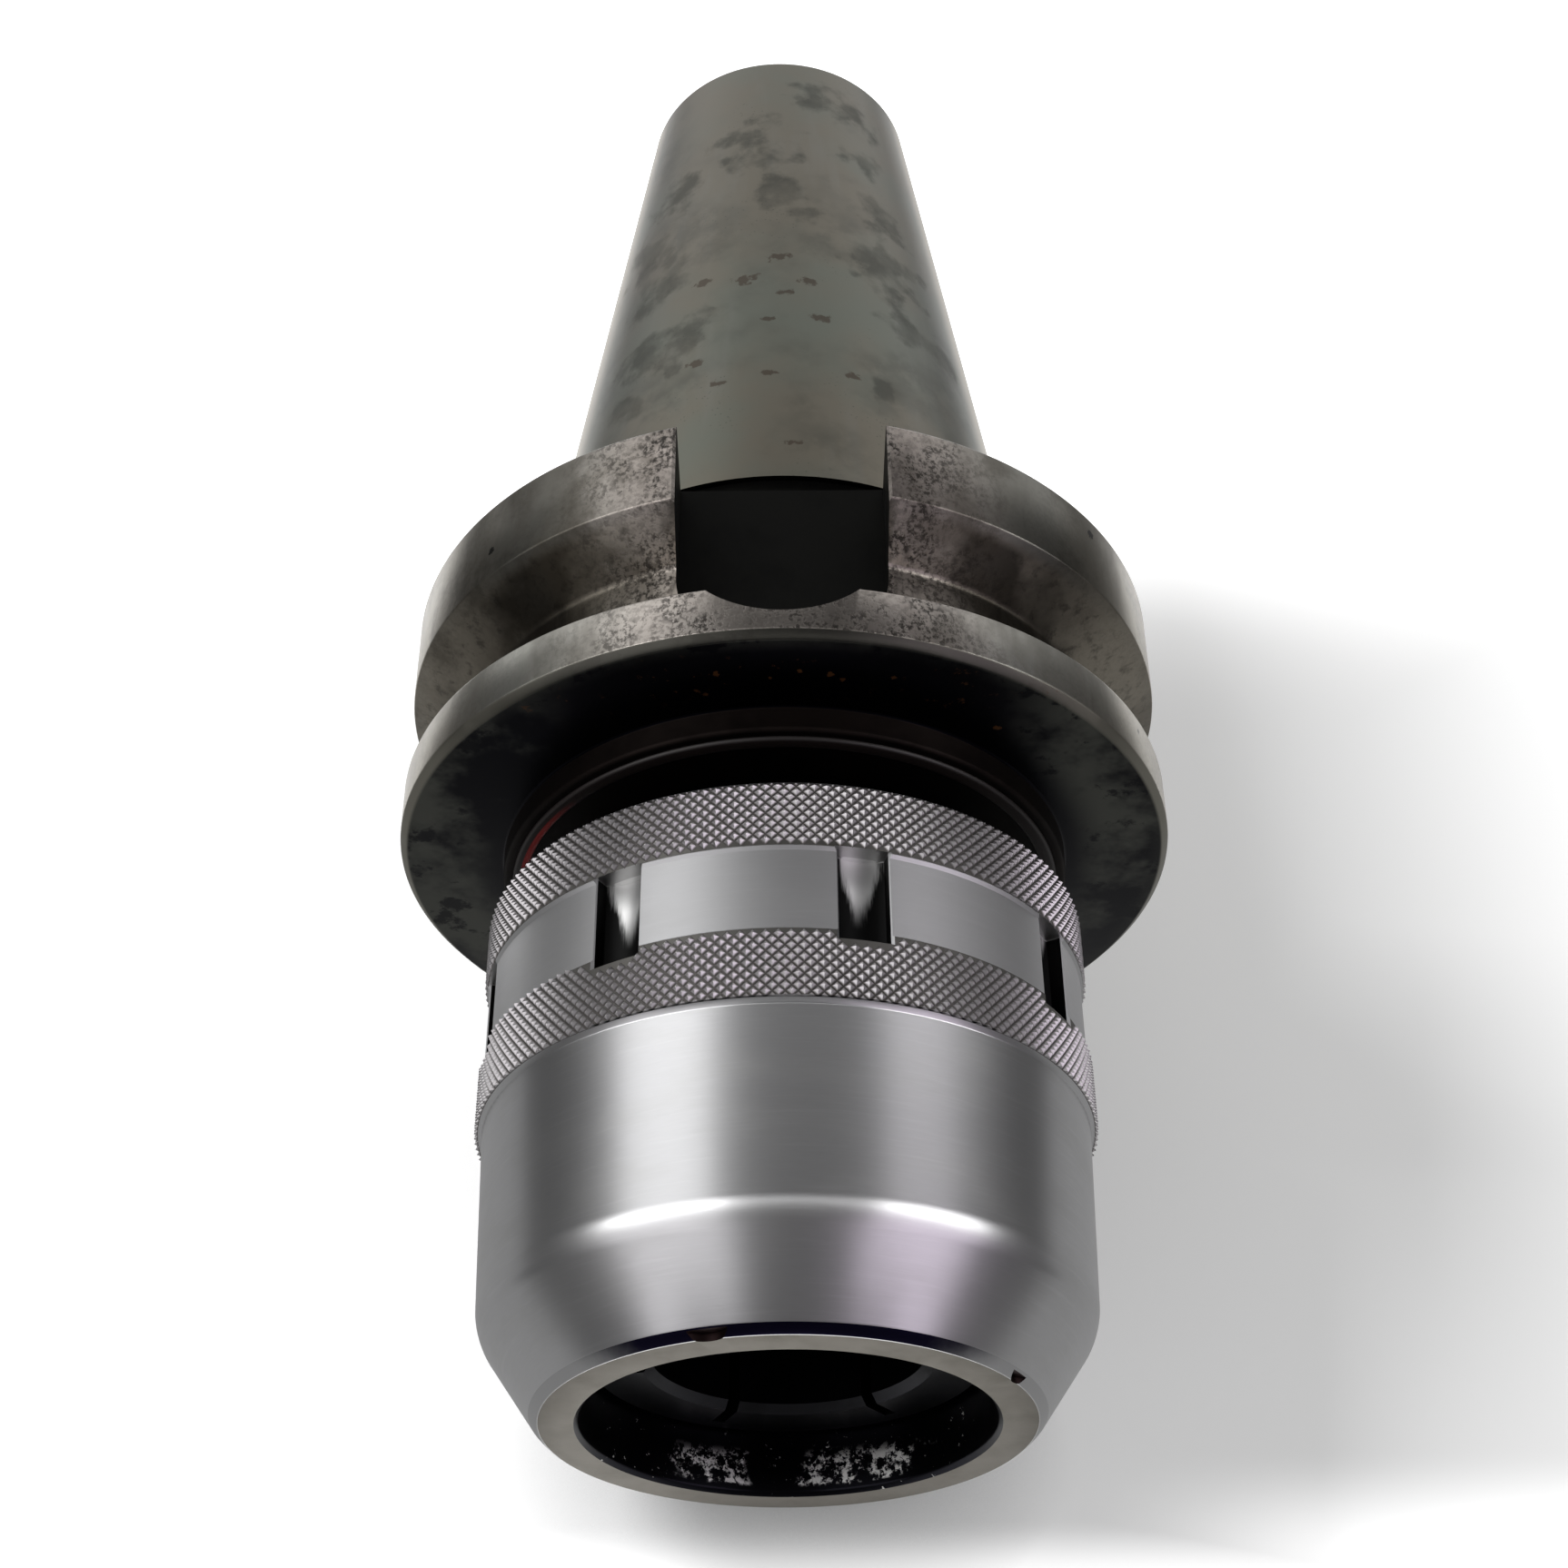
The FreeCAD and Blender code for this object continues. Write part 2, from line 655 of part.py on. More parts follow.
def make_roller(row, place):
    """One needle roller, leaning in its window and lying along the conical race."""
    name = f"needle_roller_{row + 1}_{place + 1:02d}"
    roller = DOCUMENT.addObject("Part::Cylinder", name)
    roller.Label = name
    roller.setExpression("Radius", f"{S.roller_diameter.text} / 2")
    roller.setExpression("Height", ROLLER_LENGTH.text)
    spacing = 360 / S.rollers_per_row.value
    turn = math.radians(row_angle(row).value + spacing * place)
    outward = FreeCAD.Vector(math.sin(turn), -math.cos(turn), 0)
    rightward = FreeCAD.Vector(math.cos(turn), math.sin(turn), 0)
    height = row_height(row)
    orbit = inner_race(height) + S.inner_play + S.roller_diameter / 2
    lean = rightward * (LEAN_SIDE * ROLLER_LEAN.value)
    axis = FreeCAD.Vector(0, 0, 1) + outward * RACE_SLOPE.value + lean
    axis.normalize()
    middle = outward * orbit.value + FreeCAD.Vector(0, 0, height.value)
    base = middle - axis * (ROLLER_LENGTH.value / 2)
    roller.Placement = FreeCAD.Placement(base, FreeCAD.Rotation(FreeCAD.Vector(0, 0, 1), axis))
    return roller


def make_parts():
    parts = [make_arbor(), make_rear_seal(), make_nut(), make_wiper()]
    parts.append(make_snap_ring("sleeve_stop_ring", SLEEVE_RADIUS - S.stop_ring_bite,
                                SLEEVE_RADIUS + S.stop_ring_rise, STOP_RING_START,
                                S.stop_ring_thickness, S.stop_ring_gap))
    retaining_radius = COUNTERBORE_RADIUS + S.retaining_ring_bite
    parts.append(make_snap_ring("nut_retaining_ring", retaining_radius - S.retaining_ring_width,
                                retaining_radius, COUNTERBORE_FLOOR + S.retaining_ring_room,
                                S.retaining_ring_thickness, S.retaining_ring_gap))
    parts.append(make_cage())
    for row in range(int(S.roller_rows.value)):
        for place in range(int(S.rollers_per_row.value)):
            parts.append(make_roller(row, place))
    return parts


def check_document():
    for item in DOCUMENT.Objects:
        if "Invalid" in item.State or "Error" in item.State:
            raise SystemExit(f"{item.Name} did not recompute")


def write_parts(parts):
    os.makedirs("parts", exist_ok=True)
    for part in parts:
        shape = part.Shape
        if shape.isNull() or not shape.isValid() or len(shape.Solids) != 1:
            raise SystemExit(f"{part.Label} is not one valid solid")
    for part in parts:
        part.Shape.exportStep(f"parts/{part.Label}.step")


PARTS = make_parts()
DOCUMENT.recompute()
check_document()
write_parts(PARTS)
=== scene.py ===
import json
import math

import bmesh
import bpy
from mathutils import Matrix, Vector

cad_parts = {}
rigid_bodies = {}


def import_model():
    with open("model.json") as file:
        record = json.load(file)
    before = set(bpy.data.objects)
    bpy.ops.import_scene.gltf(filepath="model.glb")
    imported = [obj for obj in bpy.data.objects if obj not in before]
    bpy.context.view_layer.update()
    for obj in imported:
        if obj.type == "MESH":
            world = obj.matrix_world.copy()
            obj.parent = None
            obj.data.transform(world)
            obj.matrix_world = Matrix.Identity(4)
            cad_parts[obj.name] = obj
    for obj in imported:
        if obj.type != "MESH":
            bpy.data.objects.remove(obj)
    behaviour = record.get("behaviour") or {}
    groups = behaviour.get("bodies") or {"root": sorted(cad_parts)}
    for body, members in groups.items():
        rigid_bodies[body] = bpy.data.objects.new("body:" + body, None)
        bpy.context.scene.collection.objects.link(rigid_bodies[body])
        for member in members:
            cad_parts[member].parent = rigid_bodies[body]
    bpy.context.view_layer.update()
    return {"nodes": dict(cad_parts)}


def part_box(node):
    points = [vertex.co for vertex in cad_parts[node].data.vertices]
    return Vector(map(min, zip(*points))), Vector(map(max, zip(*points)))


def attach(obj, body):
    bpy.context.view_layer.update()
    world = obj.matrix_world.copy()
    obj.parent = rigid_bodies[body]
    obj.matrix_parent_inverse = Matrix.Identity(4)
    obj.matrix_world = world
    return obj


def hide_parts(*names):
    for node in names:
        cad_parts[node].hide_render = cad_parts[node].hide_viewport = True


# Looks of a roller-lock milling chuck that stands on the nose of its nut.
# The chuck's sizes are millimetres, as a maker writes them, and MM turns them into metres.
# Heights run up the axis from the end face of the nut; the front is -Y.

MM = 0.001

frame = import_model()


def top_of(node):
    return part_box(node)[1].z / MM


def foot_of(node):
    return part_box(node)[0].z / MM


def radius_of(node):
    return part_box(node)[1].x / MM


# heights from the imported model
NUT_LENGTH = top_of("clamping_nut")
TAPER_TOP = top_of("arbor")
SLEEVE_FRONT = foot_of("arbor")
CAGE_START = foot_of("roller_cage")
CAGE_END = top_of("roller_cage")
SEAL_FRONT = foot_of("rear_seal_ring")
SEAL_BACK = top_of("rear_seal_ring")
WIPER_START = foot_of("front_wiper_ring")
WIPER_END = top_of("front_wiper_ring")
STOP_START = foot_of("sleeve_stop_ring")
STOP_END = top_of("sleeve_stop_ring")
RETAINER_START = foot_of("nut_retaining_ring")
RETAINER_END = top_of("nut_retaining_ring")

# taper, neck and flange
TAPER_LENGTH = 101.8
GAUGE = TAPER_TOP - TAPER_LENGTH
GAUGE_RADIUS = 34.925
TAPER_RATE = 7 / 48
TAPER_END_RADIUS = GAUGE_RADIUS - TAPER_LENGTH * TAPER_RATE
NECK_RADIUS = 34.0
FLANGE_TOP = GAUGE - 3.0
FLANGE_BOTTOM = FLANGE_TOP - 35.0
FLANGE_RADIUS = radius_of("arbor")
VEE_MIDDLE = FLANGE_TOP - 20.2
VEE_WIDTH = 15.0
VEE_DEPTH = 7.5
KEY_WIDTH = 25.7
KEY_FLOOR = 35.4
KEY_ARC_HEIGHT = FLANGE_BOTTOM + 3.65 + KEY_WIDTH / 2
KEY_EDGE_BREAK = 0.5
FLANGE_TOP_BREAK = 1.2
FLANGE_BOTTOM_BREAK = 1.0
TAPER_END_BREAK = 1.2

# boss and sleeve
BOSS_RADIUS = 36.5
BOSS_BOTTOM = FLANGE_BOTTOM - 3.5
SEAL_RADIUS = radius_of("rear_seal_ring")
SEAL_WIDTH = 1.8
SLEEVE_RADIUS = 23.4
RACE_RADIUS = 23.6
RACE_RATE = 1 / 64
SLEEVE_NECK = 25.4
SLEEVE_EDGE_BREAK = 0.6
STOP_RING_BITE = 1.1
BORE_RADIUS = 16.0
BORE_BREAK = 1.0
BORE_END = SLEEVE_FRONT + 95.0
SLIT_WIDTH = 1.5
SLIT_REACH = 21.0
SLIT_LENGTH = 52.0
SLIT_ANGLE = 54.0
SLIT_COUNT = 6

# pull stud end
PASSAGE_RADIUS = 5.0
TAP_RADIUS = 10.5
THREAD_RADIUS = 12.1
THREAD_PITCH = 3.0
TAP_END = TAPER_TOP - 58.0
PILOT_RADIUS = 12.5
PILOT_DEPTH = 13.0
PILOT_BREAK = 0.8
DRILL_TIP_LENGTH = 6.0

# clamping nut
KNURL_RADIUS = 37.3
NUT_BODY_RADIUS = KNURL_RADIUS - 0.5
NUT_FRONT_RADIUS = KNURL_RADIUS - 1.3
BAND_RADIUS = KNURL_RADIUS - 0.2
BAND_END = NUT_LENGTH - 9.7
BAND_START = BAND_END - 10.2
KNURL_START = BAND_START - 9.4
CONE_LENGTH = 10.7
MOUTH_RADIUS = 23.75
MOUTH_LENGTH = 13.7
NOSE_RADIUS = 28.4
NOSE_BREAK = 1.0
NUT_RACE_RADIUS = RACE_RADIUS + 3.8
COUNTERBORE_RADIUS = NUT_RACE_RADIUS + 1.2
COUNTERBORE_FLOOR = NUT_LENGTH - 3.9
RETAINER_BITE = 0.9
WIPER_BITE = 1.75
RING_PLAY = 0.1
MOUTH_BREAK = 0.5
REAR_BREAK = 0.8
SLOT_COUNT = 8
SLOT_WIDTH = 6.0
SLOT_ANGLE = 14.0
SLOT_START = BAND_START - 1.3
SLOT_END = BAND_END + 0.7
SLOT_FLOOR = BAND_RADIUS - 2.9
SLOT_SIDE_DEPTH = 1.9
SLOT_EDGE_BREAK = 0.15

# nicks in the edge of the nose: radius, bite, height, angle
NICKS = ((2.6, 0.6, 0.85, -16.7), (1.6, 0.3, 0.75, 59.5))

# knurling: raised diamonds in staggered rows, from one height to another
FRONT_KNURL = (KNURL_START + 0.5, BAND_START - 0.2)
REAR_KNURL = (BAND_END + 0.6, NUT_LENGTH - REAR_BREAK)
DIAMONDS_AROUND = 165
DIAMOND_PITCH = 1.45
DIAMOND_HEIGHT = 0.45

ROUND_STEPS = 240


# modelling helpers

def finish_editing():
    """Leave edit mode and select nothing."""
    if bpy.context.object and bpy.context.object.mode == "EDIT":
        bpy.ops.object.mode_set(mode="OBJECT")
    bpy.ops.object.select_all(action="DESELECT")


def choose(piece):
    finish_editing()
    piece.select_set(True)
    bpy.context.view_layer.objects.active = piece


def edit(piece):
    choose(piece)
    bpy.ops.object.mode_set(mode="EDIT")


def take_all():
    bpy.ops.mesh.select_all(action="SELECT")


def merge_points():
    take_all()
    bpy.ops.mesh.remove_doubles(threshold=0.001 * MM)


def draw_out(move):
    """Extrude what is selected by a move."""
    bpy.ops.mesh.extrude_region_move(TRANSFORM_OT_translate={"value": move})


def pick_points(piece, wanted):
    """In edit mode, select just the points whose place suits."""
    bpy.ops.mesh.select_mode(type="VERT")
    bpy.ops.mesh.select_all(action="DESELECT")
    mesh = bmesh.from_edit_mesh(piece.data)
    for point in mesh.verts:
        point.select = wanted(point.co / MM)
    mesh.select_flush(True)
    bmesh.update_edit_mesh(piece.data)


def number_of(corners, across, up):
    """Number of the corner at a place."""
    return min(range(len(corners)),
               key=lambda number: math.hypot(corners[number][0] - across, corners[number][1] - up))


def draw_line(name, corners, rounds=(), closed=True, level=None):
    """Draw a chain of edges through corners and round some of them.

    Corners are (across, up) in the XZ plane, or (across, outward) in a plan when it has a level.
    rounds gives ((across, up), reach along each side, steps) for the corners at those places.
    """
    finish_editing()
    bpy.ops.mesh.primitive_plane_add(size=MM, location=(0, 0, 0))
    piece = bpy.context.object
    piece.name = name
    bpy.ops.object.mode_set(mode="EDIT")
    take_all()
    bpy.ops.mesh.merge(type="CENTER")
    if level is None:
        places = [Vector((across, 0, up)) * MM for across, up in corners]
    else:
        places = [Vector((across, -outward, level)) * MM for across, outward in corners]
    bpy.ops.transform.translate(value=places[0])
    if closed:
        places.append(places[0])
    for before, after in zip(places, places[1:]):
        draw_out(after - before)
    merge_points()
    for spot, reach, steps in rounds:
        corner = places[number_of(corners, *spot)] / MM
        pick_points(piece, lambda place: (place - corner).length < 0.02)
        bpy.ops.mesh.bevel(affect="VERTICES", offset_type="OFFSET", offset=reach * MM, segments=steps)
    return piece


def spin_round(piece, steps=ROUND_STEPS):
    """Turn the drawn section into a closed ring about the axis."""
    take_all()
    bpy.ops.mesh.spin(steps=steps, angle=2 * math.pi, center=(0, 0, 0), axis=(0, 0, 1))
    merge_points()
    bpy.ops.mesh.normals_make_consistent(inside=False)
    finish_editing()
    return piece


def fill_and_raise(lift):
    """Fill a closed plan with a face and raise it into a bar."""
    take_all()
    bpy.ops.mesh.edge_face_add()
    draw_out((0, 0, lift * MM))
    take_all()
    bpy.ops.mesh.normals_make_consistent(inside=False)


def copies_round(piece, count, first):
    """Copies of a cutter spaced evenly about the axis, joined into one."""
    joined = []
    for number in range(count):
        choose(piece)
        bpy.ops.object.duplicate(linked=False)
        copy = bpy.context.object
        edit(copy)
        take_all()
        turn_about_axis(first + 360 * number / count)
        finish_editing()
        joined.append(copy)
    bpy.data.objects.remove(piece)
    for copy in joined:
        copy.select_set(True)
    bpy.context.view_layer.objects.active = joined[0]
    bpy.ops.object.join()
    return bpy.context.object


def turn_about_axis(degrees, axis="Z"):
    """Anticlockwise seen from the axis's end. With no window, transform.rotate turns the other way."""
    bpy.ops.transform.rotate(value=-math.radians(degrees), orient_axis=axis, center_override=(0, 0, 0))


def combine(piece, other, operation):
    """Add another piece to this one or cut it away; the other is used up."""
    choose(piece)
    bpy.ops.object.modifier_add(type="BOOLEAN")
    change = piece.modifiers[-1]
    change.operation = operation
    change.solver = "EXACT"
    change.object = other
    bpy.ops.object.modifier_apply(modifier=change.name)
    bpy.data.objects.remove(other)


def cut(piece, cutter):
    combine(piece, cutter, "DIFFERENCE")


def smooth(piece, degrees=30):
    choose(piece)
    bpy.ops.object.shade_smooth_by_angle(angle=math.radians(degrees))
    finish_editing()


def dress_faces(piece, finishes, rule):
    """Give every face the finish that the rule names for its middle and its normal."""
    names = list(finishes)
    for name in names:
        piece.data.materials.append(finishes[name])
    for face in piece.data.polygons:
        face.material_index = names.index(rule(face.center / MM, face.normal))


# finishes

class Finish:
    """A finish made of nodes over Object coordinates, around one Principled shader."""

    def __init__(self, name, colour, roughness, metallic=1.0):
        self.material = bpy.data.materials.new(name)
        self.material.use_nodes = True
        self.nodes = self.material.node_tree.nodes
        self.links = self.material.node_tree.links
        self.shader = self.nodes["Principled BSDF"]
        self.shader.inputs["Base Color"].default_value = (*colour, 1)
        self.shader.inputs["Roughness"].default_value = roughness
        self.shader.inputs["Metallic"].default_value = metallic
        self.place = self.nodes.new("ShaderNodeTexCoord").outputs["Object"]
        parts = self.node("ShaderNodeSeparateXYZ", Vector=self.place)
        self.x, self.y, self.z = parts.outputs
        squares = self.sum(self.times(self.x, self.x), self.times(self.y, self.y))
        self.radius = self.calculate("SQRT", squares)

    def node(self, kind, **inputs):
        made = self.nodes.new(kind)
        for name, value in inputs.items():
            self.feed(made.inputs[name.replace("_", " ")], value)
        return made

    def feed(self, socket, value):
        if isinstance(value, bpy.types.NodeSocket):
            self.links.new(value, socket)
        elif isinstance(value, tuple) and socket.type == "RGBA":
            socket.default_value = (*value, 1)
        else:
            socket.default_value = value

    def calculate(self, operation, first, second=0.0):
        made = self.nodes.new("ShaderNodeMath")
        made.operation = operation
        self.feed(made.inputs[0], first)
        self.feed(made.inputs[1], second)
        return made.outputs[0]

    def sum(self, first, second):
        return self.calculate("ADD", first, second)

    def times(self, first, second):
        return self.calculate("MULTIPLY", first, second)

    def larger(self, first, second):
        return self.calculate("MAXIMUM", first, second)

    def stretch(self, scale):
        return self.node("ShaderNodeMapping", Vector=self.place, Scale=scale).outputs[0]

    def noise(self, scale, detail=4.0, rough=0.55, place=None):
        made = self.node("ShaderNodeTexNoise", Vector=place or self.place, Scale=scale,
                         Detail=detail, Roughness=rough)
        return made.outputs["Fac"]

    def turning(self, fineness=4000.0, along=350.0):
        """Fine broken lines that run round the axis on any turned face."""
        level = self.times(self.sum(self.z, self.times(self.radius, 1.37)), fineness)
        place = self.node("ShaderNodeCombineXYZ", X=self.times(self.x, along), Y=self.times(self.y, along),
                          Z=level).outputs[0]
        return self.noise(1.0, 2.0, 0.6, place)

    def specks(self, scale, size, softness=0.4):
        """Small round specks, 1 inside and 0 outside."""
        made = self.node("ShaderNodeTexVoronoi", Vector=self.place, Scale=scale)
        return self.step(made.outputs["Distance"], size, size * softness)

    def step(self, value, low, high):
        """Run from 0 at low to 1 at high, where high may also be the smaller."""
        made = self.nodes.new("ShaderNodeMapRange")
        made.interpolation_type = "SMOOTHSTEP"
        for name, given in (("Value", value), ("From Min", low), ("From Max", high)):
            self.feed(made.inputs[name], given)
        return made.outputs[0]

    def span(self, value, low, high):
        made = self.nodes.new("ShaderNodeMapRange")
        for name, given in (("Value", value), ("To Min", low), ("To Max", high)):
            self.feed(made.inputs[name], given)
        return made.outputs[0]

    def blots(self, marks, ragged, flat=1.0, soft=0.5):
        """Ragged blots about places in millimetres; flat over 1 presses them along the axis."""
        pressed = self.stretch((1.0, 1.0, flat))
        cover = 0.0
        for (across, along, up), size in marks:
            away = self.nodes.new("ShaderNodeVectorMath")
            away.operation = "DISTANCE"
            self.links.new(pressed, away.inputs[0])
            away.inputs[1].default_value = (across * MM, along * MM, up * flat * MM)
            edge = self.sum(away.outputs["Value"], self.times(ragged, size * 4.0 * MM))
            cover = self.larger(cover, self.step(edge, size * 3.25 * MM, size * (3.25 - soft) * MM))
        return cover

    def mix(self, factor, first, second):
        made = self.nodes.new("ShaderNodeMix")
        made.data_type = "RGBA"
        self.feed(made.inputs["Factor"], factor)
        self.feed(made.inputs[6], first)
        self.feed(made.inputs[7], second)
        return made.outputs[2]

    def colour(self, value):
        self.feed(self.shader.inputs["Base Color"], value)

    def roughness(self, value):
        self.feed(self.shader.inputs["Roughness"], value)

    def bump(self, height, depth, strength=1.0):
        """Raise the surface by a share of depth, in millimetres."""
        made = self.node("ShaderNodeBump", Height=height, Distance=depth * MM, Strength=strength)
        self.links.new(made.outputs[0], self.shader.inputs["Normal"])


# blots and brown spots on the front of the taper: place and size in millimetres
TAPER_BLOTS = (
    ((-4, -23, 190), 5.8), ((0.5, -26, 177), 4.6), ((2.5, -25.5, 172), 3.0),
    ((6, -20.7, 204), 4.4), ((11, -19.3, 202), 4.4), ((13, -19.5, 190), 3.8),
    ((15, -21, 176), 4.6), ((15.5, -22.5, 164), 6.0), ((-19, -18, 172), 6.0),
    ((-17.5, -21.5, 161), 4.8), ((-14, -18.5, 184), 5.2), ((-15, -26, 145.5), 5.0),
    ((-19.5, -22.5, 145.5), 4.2), ((-12.5, -27, 147), 3.2), ((-14.9, -27.3, 139), 1.8),
    ((14.2, -28.5, 134), 2.8), ((-21.3, -23.3, 136), 4.2), ((10.5, -26, 159), 1.2),
    ((22.5, -18, 150), 3.4), ((17, -23, 152), 4.0),
)
TAPER_SPOTS = (
    ((0, -27.9, 161), 1.6), ((-10.8, -26.3, 157.5), 1.3), ((-5, -28.4, 156), 1.6),
    ((4, -28.4, 155.3), 1.3), ((0.8, -29.1, 152.5), 1.0), ((5.7, -29.3, 147), 1.3),
    ((-1.8, -29.9, 146.4), 0.8), ((9.8, -30.1, 135), 1.2), ((-11.7, -28.8, 139), 1.1),
    ((-8.5, -30.8, 133.2), 0.9), ((-1.8, -31.7, 134.2), 0.9), ((1.4, -33.9, 119.4), 0.9),
)


def taper_finish():
    """Hardened and ground taper, dulled with age, with dark blots and brown spots, and a painted pale sheen
    at its left and right sides.
    """
    grey, warm = (0.124, 0.132, 0.110), (0.138, 0.126, 0.100)
    dark, rust = (0.048, 0.050, 0.042), (0.068, 0.052, 0.038)
    made = Finish("taper_ground", grey, 0.42)
    tint = made.mix(made.step(made.noise(28.0), 0.40, 0.62), grey, warm)
    streaks = made.noise(1.0, 3.0, 0.6, made.stretch((160.0, 160.0, 18.0)))
    tint = made.mix(made.times(made.step(streaks, 0.5, 0.75), 0.35), tint, (0.165, 0.165, 0.150))
    patch = made.step(made.noise(40.0, 4.0, 0.55), 0.45, 0.64)
    ragged = made.step(made.noise(170.0, 5.0, 0.6), 0.34, 0.62)
    clouds = made.times(patch, ragged)
    blots = made.blots(TAPER_BLOTS, made.noise(230.0, 4.0, 0.55), 1.0, 1.0)
    blots = made.times(blots, made.span(ragged, 0.55, 1.0))
    tint = made.mix(made.times(made.larger(blots, made.times(clouds, 0.75)), 0.66), tint, dark)
    spots = made.blots(TAPER_SPOTS, made.noise(900.0, 4.0, 0.6), 1.8)
    tint = made.mix(made.times(spots, 0.75), tint, rust)
    pits = made.times(made.specks(1300.0, 0.22), made.step(made.noise(90.0), 0.52, 0.66))
    tint = made.mix(made.times(pits, 0.5), tint, dark)
    # painted sheen: the left and right sides of the taper, as seen from the front, are made paler
    sides = made.step(made.calculate("DIVIDE", made.calculate("ABSOLUTE", made.x), made.radius), 0.84, 0.93)
    made.colour(made.mix(made.times(sides, 0.75), tint, (0.36, 0.32, 0.26)))
    made.roughness(made.span(made.larger(blots, spots), 0.38, 0.5))
    made.bump(made.turning(), 0.002)
    return made.material


# dark spots on the flange lands: place and size in millimetres
FLANGE_SPOTS = (((39.4, -30.8, 106.0), 0.6), ((-36.5, -34.2, 101.0), 0.5), ((44.0, -23.7, 80.0), 0.4))


def flange_finish():
    """Flange lands and gripper groove: turned steel, pitted near the key slots, darker in the groove with a
    dark band at each side, painted shade above the groove's middle and a painted beige reflection at the
    far left and right.
    """
    clean, dull, pink = (0.46, 0.455, 0.415), (0.16, 0.155, 0.135), (0.36, 0.305, 0.28)
    beige, brown, dark = (0.34, 0.31, 0.255), (0.05, 0.042, 0.03), (0.018, 0.016, 0.014)
    made = Finish("flange_stained", clean, 0.34)
    side = made.calculate("ABSOLUTE", made.x)
    near_key = made.step(side, 30 * MM, 14 * MM)
    # painted reflection: the far left and right sides of the flange turn beige
    far = made.step(side, 32 * MM, 42 * MM)
    # painted shade: darker above the middle of the groove, over the downward-facing groove wall and on up
    # the upper land
    upper = made.step(made.z, (VEE_MIDDLE - 4) * MM, (VEE_MIDDLE + 8) * MM)
    tint = made.mix(made.times(upper, made.span(near_key, 0.9, 0.55)), clean, dull)
    tint = made.mix(made.times(near_key, 0.6), tint, pink)
    in_groove = made.step(made.radius, (FLANGE_RADIUS - 0.3) * MM, (FLANGE_RADIUS - 2.0) * MM)
    tint = made.mix(made.times(in_groove, made.span(near_key, 0.85, 0.30)), tint, (0.26, 0.23, 0.185))
    tint = made.mix(made.times(far, 0.8), tint, beige)
    wander = made.sum(side, made.times(made.sum(made.noise(70.0, 4.0, 0.6), -0.5), 0.022))
    band = made.times(made.step(wander, 20 * MM, 26 * MM), made.step(wander, 37 * MM, 31 * MM))
    tint = made.mix(made.times(made.times(band, in_groove), 0.8), tint, dark)
    smears = made.noise(1.0, 4.0, 0.6, made.stretch((50.0, 50.0, 28.0)))
    smears = made.times(made.step(smears, 0.45, 0.66), made.span(far, 0.6, 0.3))
    tint = made.mix(smears, tint, brown)
    scores = made.noise(1.0, 3.0, 0.65, made.stretch((650.0, 650.0, 60.0)))
    tint = made.mix(made.times(made.step(scores, 0.50, 0.72), made.span(in_groove, 0.1, 0.5)), tint, dark)
    clouds = made.step(made.noise(110.0, 5.0, 0.65), 0.46, 0.68)
    tint = made.mix(made.times(clouds, made.span(upper, 0.2, 0.5)), tint, brown)
    grain = made.step(made.noise(1500.0, 4.0, 0.72), 0.43, 0.60)
    clumps = made.step(made.noise(150.0, 4.0, 0.65), 0.40, 0.58)
    pitting = made.times(made.times(grain, made.span(clumps, 0.3, 1.0)), made.span(near_key, 0.12, 0.88))
    tint = made.mix(pitting, tint, dark)
    spots = made.blots(FLANGE_SPOTS, made.noise(1500.0, 4.0, 0.6))
    tint = made.mix(spots, tint, dark)
    rust = made.blots((((25.1, -43.2, 85.9), 0.4),), made.noise(1500.0, 4.0, 0.6))
    made.colour(made.mix(rust, tint, (0.45, 0.16, 0.03)))
    made.roughness(made.span(made.larger(smears, pitting), 0.30, 0.52))
    made.bump(made.sum(made.times(pitting, -1.0), made.times(made.turning(), 0.25)), 0.016)
    return made.material


# rust specks on the underside of the flange: x, y and size in millimetres
UNDERSIDE_SPECKS = (
    (-7.8, -42.8, 0.4), (-9.1, -38.9, 0.3), (5.5, -42.6, 0.4), (6.9, -41.6, 0.3),
    (12.8, -41.8, 0.3), (25.6, -32.0, 0.4), (2.0, -43.2, 0.3), (-1.5, -42.0, 0.2),
)


